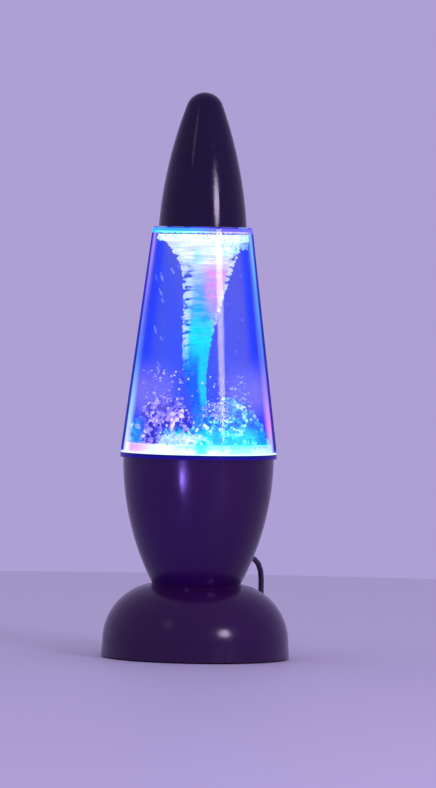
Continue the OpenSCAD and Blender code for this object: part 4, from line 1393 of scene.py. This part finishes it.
@dataclass
class ScrewSet:
    """Cross-head screws on a ring, in place of a frame node."""

    node: str
    count: int
    start_deg: float
    head_radius: float
    head_height: float
    shank_radius: float
    heads_up: bool
    sides: int = 24
    tip_radius: float = 0.0003

    def build(self, shelf: FinishShelf, tree: GeometrySketch, seed: int) -> Object:
        """Makes the screws where the frame has them.

        Args:
            shelf: the finishes.
            tree: the shared screw ring.
            seed: seed of the turns at which they were left.

        Returns:
            The piece.
        """
        low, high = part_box(self.node)
        lean = cos(radians(self.start_deg))
        ring = (high.x - self.head_radius) / lean if lean > 0.1 else high.y - self.head_radius
        pattern = link_object("screw_pattern", self._pattern(high.z - low.z))
        mesh = tree.mesh(self.node + "_cross", {
            "Screw": pattern, "Count": self.count, "Ring Radius": ring, "Start": radians(self.start_deg),
            "Height": high.z if self.heads_up else low.z, "Flip": 0.0 if self.heads_up else pi, "Seed": seed,
            "Material": shelf.get(STEEL)})
        mesh.set_sharp_from_angle(angle=SCREW_CREASE)
        discard(pattern)
        return add_piece(self.node + "_cross", mesh, Body.LAMP, (self.node,))

    def _pattern(self, length: float) -> Mesh:
        """One screw with its head's top at the origin and its shank down: domed head, cross recess, threads.

        Args:
            length: from the top of the head to the point.

        Returns:
            The mesh.
        """
        build = bmesh.new()
        spokes = [(cos(TURN * j / self.sides), sin(TURN * j / self.sides)) for j in range(self.sides)]
        rings = [[build.verts.new((r * x, r * y, z)) for x, y in spokes] for r, z in self._profile(length)]
        for upper, lower in zip(rings, rings[1:]):
            for j in range(self.sides):
                k = (j + 1) % self.sides
                build.faces.new((upper[j], lower[j], lower[k], upper[k]))
        build.faces.new(rings[-1][::-1])
        loops = (rings[0], self._recess(build))
        edges = [build.edges.get(pair) for loop in loops for pair in zip(loop, (*loop[1:], loop[0]))]
        bmesh.ops.bridge_loops(build, edges=edges)
        bmesh.ops.recalc_face_normals(build, faces=build.faces[:])
        made = bpy.data.meshes.new("screw_pattern")
        build.to_mesh(made)
        build.free()
        return made

    def _profile(self, length: float) -> list[Pair]:
        """The screw's outline from the dome of its head to its point.

        Args:
            length: from the top of the head to the point.

        Returns:
            Radii and heights.
        """
        head, drop, shank = self.head_radius, self.head_height, self.shank_radius
        profile = [(head * 0.78, -drop * 0.06), (head * 0.94, -drop * 0.28), (head, -drop * 0.6),
                   (head, -drop), (shank * 0.9, -drop)]
        pitch = shank * 0.8
        for i in range(int((length - drop - pitch * 1.5) / pitch)):
            z = -drop - pitch * (i + 0.4)
            profile += [(shank, z), (shank * 0.8, z - pitch * 0.5)]
        return [*profile, (shank * 0.5, -length + pitch * 0.3), (self.tip_radius, -length)]

    def _recess(self, build: bmesh.types.BMesh) -> list[bmesh.types.BMVert]:
        """Adds the cross recess of the head.

        Args:
            build: mesh to add to.

        Returns:
            The corners of its brim.
        """
        arm, slot, deep = self.head_radius * 0.62, self.head_radius * 0.16, self.head_height * 0.6
        narrowing = 0.75
        brim, floor = [], []
        for quarter in range(4):
            spin = Matrix.Rotation(TURN / 4.0 * quarter, 3, "Z")
            for corner in (Vector((arm, slot)), Vector((slot, slot)), Vector((slot, arm))):
                sunk = corner * narrowing
                brim.append(build.verts.new(spin @ Vector((corner.x, corner.y, 0.0))))
                floor.append(build.verts.new(spin @ Vector((sunk.x, sunk.y, -deep))))
        for i in range(len(brim)):
            k = (i + 1) % len(brim)
            build.faces.new((brim[i], brim[k], floor[k], floor[i]))
        build.faces.new(floor)
        return brim


@dataclass
class Housing:
    """Foot, cup and cap with their skins, and the screws that hold the lamp together."""

    screws: Sequence[ScrewSet] = (
        ScrewSet("base_screws", 4, 45.0, 0.0028, 0.0017, 0.00145, False),
        ScrewSet("waist_screws", 3, 0.0, 0.0028, 0.0017, 0.00145, False),
        ScrewSet("bracket_screws", 3, 0.0, 0.0028, 0.0017, 0.00145, True),
        ScrewSet("motor_screws", 2, 90.0, 0.0019, 0.0013, 0.00095, True),
    )

    def build(self, nodes: Mapping[str, Object], shelf: FinishShelf) -> None:
        """Dresses the shells and makes the screws.

        Args:
            nodes: the frame's objects by name.
            shelf: the finishes.
        """
        for node, finish in (("foot", GLOSS), ("cup", GLOSS), ("cap", CAP_GLOSS_SHADED)):
            dress_node(nodes[node], shelf.get(finish))
        tree = self._screw_ring()
        for seed, screws in enumerate(self.screws):
            screws.build(shelf, tree, seed)

    @staticmethod
    def _screw_ring() -> GeometrySketch:
        """The rule of a ring of screws.

        Returns:
            A tree that sets one screw on each point of a ring, each left at its own turn.
        """
        tree = GeometrySketch("screw_ring", {
            "Screw": "Object", "Count": 4, "Ring Radius": 0.04, "Start": 0.0, "Height": 0.0, "Flip": 0.0,
            "Seed": 0})
        angle = tree["Start"] + tree.out("GeometryNodeInputIndex") * TURN / tree["Count"]
        points = tree.points(tree.around(tree["Ring Radius"], angle, tree["Height"]))
        screw = tree.out("GeometryNodeObjectInfo", {"Object": tree["Screw"]}, "Geometry")
        spun = tree.vector(tree["Flip"], 0.0, tree.chance(tree["Seed"], 0.0, TURN))
        tree.finish(tree.step("GeometryNodeInstanceOnPoints", points, {"Instance": screw, "Rotation": spun}))
        return tree


@dataclass
class Whirl:
    """The whirl of water: a swaying, ridged funnel with a hollow mouth."""

    foot_height: float = WHIRL_FOOT
    rim_height: float = WHIRL_RIM
    foot_radius: float = 0.0036
    neck_radius: float = 0.0146
    flare: float = 0.0124
    flare_fade: float = 0.013
    sway: float = 0.003
    wave: float = 0.125
    ridge: float = 0.07
    ridge_pitch: float = 0.007
    ridge_foot: float = 0.004
    ridge_rim: float = 0.010
    sway_foot: float = 0.025
    sway_rim: float = 0.014
    sway_middle: float = 0.59
    lumps_round: float = 1.1
    lumps_up: float = 520.0
    lumps_lean: float = 0.4
    core_depth: float = 0.045
    rings: int = 400
    sides: int = 128

    def build(self, shelf: FinishShelf) -> Object:
        """Makes the whirl in place of its plain frame node.

        Args:
            shelf: the finishes.

        Returns:
            The whirl.
        """
        sizes = named_inputs(self)
        mesh = self._tree(sizes).mesh("whirl_surface", {**sizes, "Material": shelf.get(WhirlFinish())})
        return add_piece("whirl_surface", mesh, Body.STIRRER, ("whirl",))

    @staticmethod
    def _tree(sizes: Values) -> GeometrySketch:
        """The rule of the whirl's shape.

        Args:
            sizes: names and starting values of its inputs.

        Returns:
            A tree that rolls a grid into a funnel: up the outside to the rim, then down into the mouth.
        """
        outer, mouth_closes, deepest, tip_ends, seam = 0.8, 0.8, 2.6, 0.006, 0.000004
        tree = GeometrySketch("whirl_shape", sizes)
        sheet = tree.out("GeometryNodeMeshGrid", {"Size X": 1.0, "Size Y": 1.0, "Vertices X": tree["Sides"],
                                                  "Vertices Y": tree["Rings"]})
        across, along, _ = tree.split(tree.out("GeometryNodeInputPosition"))
        angle = (across + 0.5) * TURN
        run = along + 0.5
        climb = (run / outer).least(1.0)
        sink = ((run - outer) / (1.0 - outer)).most(0.0)
        low, high = tree["Foot Height"], tree["Rim Height"]
        z = low + (high - low) * climb - tree["Core Depth"] * sink ** 1.5
        share = (z - low) / (high - low)
        radius = (tree.between("Foot Radius", "Neck Radius", share)
                  + tree["Flare"] * ((z - high) / tree["Flare Fade"]).exp())
        ridged, swaying = (((z - low) / tree[foot]).least((high - z) / tree[rim]).most(0.0).least(1.0)
                           for foot, rim in (("Ridge Foot", "Ridge Rim"), ("Sway Foot", "Sway Rim")))
        swirl = (angle * 2.0 - z * TURN / tree["Ridge Pitch"]).cos()
        spot = tree.vector(angle.cos() * tree["Lumps Round"], angle.sin() * tree["Lumps Round"],
                           z * tree["Lumps Up"] + angle.sin() * tree["Lumps Lean"])
        bands = (tree.noise(spot, 1.0, 3.0) - 0.5) * 9.0
        crest = (swirl * 0.4 + bands).least(1.0).most(-deepest)
        outside = radius * (1.0 + tree["Ridge"] * ridged * crest)
        inside = radius * (0.95 - sink * 0.15) * (1.0 - sink.eased(mouth_closes, 1.0)) * (1.0 + crest * 0.02)
        reach = (outside + (inside - outside) * sink.eased(0.0, 0.02)) * run.eased(-0.0001, tip_ends)
        drift = tree["Sway"] * swaying
        phase = (z - tree.between("Foot Height", "Rim Height", tree["Sway Middle"])) * TURN / tree["Wave"]
        place = tree.vector(reach * angle.cos() + drift * phase.sin(),
                            reach * angle.sin() + drift * phase.cos(), z)
        crested = tree.stored("crest", sheet, (crest + deepest) / (1.0 + deepest))
        marked = tree.stored("turn", crested, angle.cos())
        rolled = tree.step("GeometryNodeSetPosition", marked, {"Position": place})
        tree.finish(tree.step("GeometryNodeMergeByDistance", rolled, {"Distance": seam}))
        return tree


@dataclass(frozen=True)
class Swarm:
    """One crowd of bubbles in a slice of a ring of water."""

    name: str
    finish: BubbleFinish
    count: int
    facing_deg: float
    spread_deg: float
    radii: Pair
    heights: Pair
    sizes: Pair
    crowding: float
    seed: int

    def build(self, shelf: FinishShelf, tree: GeometrySketch) -> Object:
        """Makes the bubbles.

        Args:
            shelf: the finishes.
            tree: the shared rule of a swarm.

        Returns:
            The piece.
        """
        mesh = tree.mesh(self.name, {
            "Count": self.count, "Facing": radians(self.facing_deg), "Spread": radians(self.spread_deg),
            "Inner Radius": self.radii[0], "Outer Radius": self.radii[1], "Bottom": self.heights[0],
            "Top": self.heights[1], "Smallest": self.sizes[0], "Largest": self.sizes[1],
            "Crowding": self.crowding, "Seed": self.seed, "Material": shelf.get(self.finish)})
        return add_piece(self.name, mesh, Body.LAMP)


@dataclass
class VesselWater:
    """Vessel, lit floor and foam, with bubbles and streaks in the water."""

    lilac: BubbleFinish = BubbleFinish("bubbles_lilac", (0.06, 0.02, 0.35), (0.85, 0.7, 1.0), 1.2)
    pale: BubbleFinish = BubbleFinish("bubbles_pale", (0.25, 0.3, 0.9), (0.9, 1.0, 1.0), 1.2)
    white: BubbleFinish = BubbleFinish("bubbles_white", (0.5, 0.86, 0.8), (0.88, 0.98, 0.8), 1.1)
    frost: BubbleFinish = BubbleFinish("bubbles_frost", (0.2, 0.22, 0.75), (0.75, 0.72, 0.9), 1.2)
    dim: BubbleFinish = BubbleFinish("drops_dim", (0.2, 0.22, 0.9), (0.46, 0.5, 1.0), 1.0)
    navy: BubbleFinish = BubbleFinish("bubbles_navy", (0.0, 0.0, 0.06), (0.0, 0.05, 0.2), 0.4)

    def swarms(self) -> list[Swarm]:
        """The crowds of loose bubbles.

        Returns:
            Spray and froth over the floor, fine bubbles, then foam at the whirl's rim and the waterline.
        """
        return [
            Swarm("spray_left", self.lilac, 380, 207.0, 126.0,
                  (0.018, 0.037), (0.146, 0.174), (0.0002, 0.001), 1.4, 11),
            Swarm("spray_right", self.pale, 150, 322.0, 120.0,
                  (0.018, 0.034), (0.146, 0.170), (0.0002, 0.001), 1.6, 12),
            Swarm("spray_middle", self.frost, 260, 292.0, 46.0,
                  (0.023, 0.034), (0.1435, 0.1545), (0.0003, 0.0011), 0.9, 13),
            Swarm("froth_front", self.white, 300, 255.0, 42.0,
                  (0.0385, 0.0422), (0.1297, 0.1352), (0.0005, 0.0018), 1.4, 14),
            Swarm("bubbles_fine", self.pale, 120, 0.0, 360.0,
                  (0.022, 0.030), (0.15, 0.235), (0.00015, 0.0004), 1.0, 15),
            Swarm("foam_rim", self.white, 900, 0.0, 360.0,
                  (0.0263, 0.0276), (0.2508, 0.2544), (0.0005, 0.0008), 1.0, 16),
            Swarm("foam_wedge", self.white, 240, 350.0, 120.0,
                  (0.0246, 0.0272), (0.2462, 0.2508), (0.0004, 0.0009), 0.7, 17),
            Swarm("waterline", self.navy, 70, 264.0, 150.0,
                  (0.0272, 0.0277), (0.2552, 0.2557), (0.0003, 0.0007), 1.0, 18),
        ]

    def build(self, nodes: Mapping[str, Object], shelf: FinishShelf) -> None:
        """Dresses the vessel and its floor, and adds the foam, the bubbles and the streaks.

        Args:
            nodes: the frame's objects by name.
            shelf: the finishes.
        """
        dress_node(nodes["vessel"], shelf.get(AcrylicFinish()))
        dress_node(nodes["light_floor"], shelf.get(LitFloorFinish()))
        heaps = self._heap_tree().mesh("foam_bubbles", {"Foam": nodes["foam"],
                                                        "Material": shelf.get(FoamFinish())})
        add_piece("foam_bubbles", heaps, Body.LAMP, ("foam",))
        tree = self._swarm_tree()
        for swarm in self.swarms():
            swarm.build(shelf, tree)
        streaks = self._streak_tree().mesh("streaks", {"Material": shelf.get(self.dim)})
        add_piece("streaks", streaks, Body.LAMP)

    @staticmethod
    def _heap_tree() -> GeometrySketch:
        """The rule of the foam on the floor.

        Returns:
            A tree that covers the heaps of foam with bubbles, on top of the heaps themselves.
        """
        seam, lowest_slope = 0.00001, -0.4
        tree = GeometrySketch("foam_heaps", {"Foam": "Object", "Apart": 0.0015, "Crowd": 420000.0,
                                             "Smallest": 0.0004, "Largest": 0.0016, "Seed": 21})
        source = tree.out("GeometryNodeObjectInfo", {"Object": tree["Foam"]}, "Geometry")
        heaps = tree.step("GeometryNodeMergeByDistance", source, {"Distance": seam})
        _, _, up = tree.split(tree.out("GeometryNodeInputNormal"))
        points = tree.step("GeometryNodeDistributePointsOnFaces", heaps, {
            "Selection": tree.math("GREATER_THAN", up, lowest_slope), "Distance Min": tree["Apart"],
            "Density Max": tree["Crowd"], "Seed": tree["Seed"]}, distribute_method="POISSON")
        seed = tree["Seed"] * 10.0
        size = tree.between("Smallest", "Largest", tree.chance(seed) ** 2.0)
        balls = tree.balls(points, 5, tree.chance(seed + 1.0), {"Scale": tree.vector(size, size, size)})
        both = tree.add("GeometryNodeJoinGeometry")
        for part in (balls, tree.stored("tone", heaps, 0.4)):
            tree.feed(both.inputs[0], part)
        tree.finish(Signal(tree, both.outputs[0]))
        return tree

    @staticmethod
    def _swarm_tree() -> GeometrySketch:
        """The rule of a swarm.

        Returns:
            A tree that scatters bubbles in a slice of a ring.
        """
        tree = GeometrySketch("bubble_swarm", {
            "Count": 100, "Facing": 0.0, "Spread": TURN, "Inner Radius": 0.018, "Outer Radius": 0.04,
            "Bottom": 0.13, "Top": 0.15, "Smallest": 0.0003, "Largest": 0.0015, "Crowding": 1.5, "Seed": 1})
        seed = tree["Seed"] * 10.0
        angle = tree["Facing"] + tree["Spread"] * (tree.chance(seed) + tree.chance(seed + 1.0) - 1.0) * 0.5
        inner, outer = tree["Inner Radius"], tree["Outer Radius"]
        radius = (inner * inner + (outer * outer - inner * inner) * tree.chance(seed + 2.0)) ** 0.5
        z = tree.between("Bottom", "Top", tree.chance(seed + 3.0) ** tree["Crowding"])
        size = tree.between("Smallest", "Largest", tree.chance(seed + 4.0) ** 2.5)
        squat = size * tree.chance(seed + 5.0, 0.8, 1.0)
        points = tree.points(tree.around(radius, angle, z))
        shape = {"Scale": tree.vector(size, size, squat)}
        tree.finish(tree.balls(points, 6, tree.chance(seed + 6.0), shape))
        return tree

    @staticmethod
    def _streak_tree() -> GeometrySketch:
        """The rule of the streaks.

        Returns:
            A tree that sets slim drops in the water, drawn out along its downward spiral.
        """
        tree = GeometrySketch("water_streaks", {
            "Count": 14, "Facing": radians(240.0), "Inner Radius": 0.0245, "Outer Radius": 0.0285,
            "Widening": 0.006, "Bottom": 0.158, "Top": 0.238, "Slope": 1.15, "Seed": 40})
        seed = tree["Seed"]
        angle = tree["Facing"] + tree.chance(seed, -0.8, 0.28)
        height = tree.chance(seed + 1.0)
        z = tree.between("Bottom", "Top", height)
        radius = (tree.between("Inner Radius", "Outer Radius", tree.chance(seed + 2.0))
                  + (1.0 - height) * tree["Widening"])
        way = tree.vector(angle.sin() * -1.0, angle.cos(), tree["Slope"] * -1.0)
        turn = tree.out("FunctionNodeAlignRotationToVector", {"Vector": way}, axis="Z")
        slim = tree.chance(seed + 3.0, 0.0005, 0.0008)
        long = tree.chance(seed + 4.0, 0.002, 0.0034)
        points = tree.points(tree.around(radius, angle, z))
        tree.finish(tree.balls(points, 6, tree.chance(seed + 5.0, 0.3, 0.8),
                               {"Rotation": turn, "Scale": tree.vector(slim, slim, long)}))
        return tree


def main() -> None:
    """Builds the camera, the cord, the studio and the lamp in order."""
    logging.basicConfig(level=logging.INFO, format="%(name)s: %(message)s")
    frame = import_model()
    nodes = frame["nodes"]
    shelf = FinishShelf()
    PhotoCamera().build()
    for node, finish in NODE_FINISHES.items():
        dress_node(nodes[node], shelf.get(finish))
    PowerCord().build(shelf)
    Studio().build()
    Housing().build(nodes, shelf)
    VesselWater().build(nodes, shelf)
    Whirl().build(shelf)


if __name__ == "__main__":
    main()
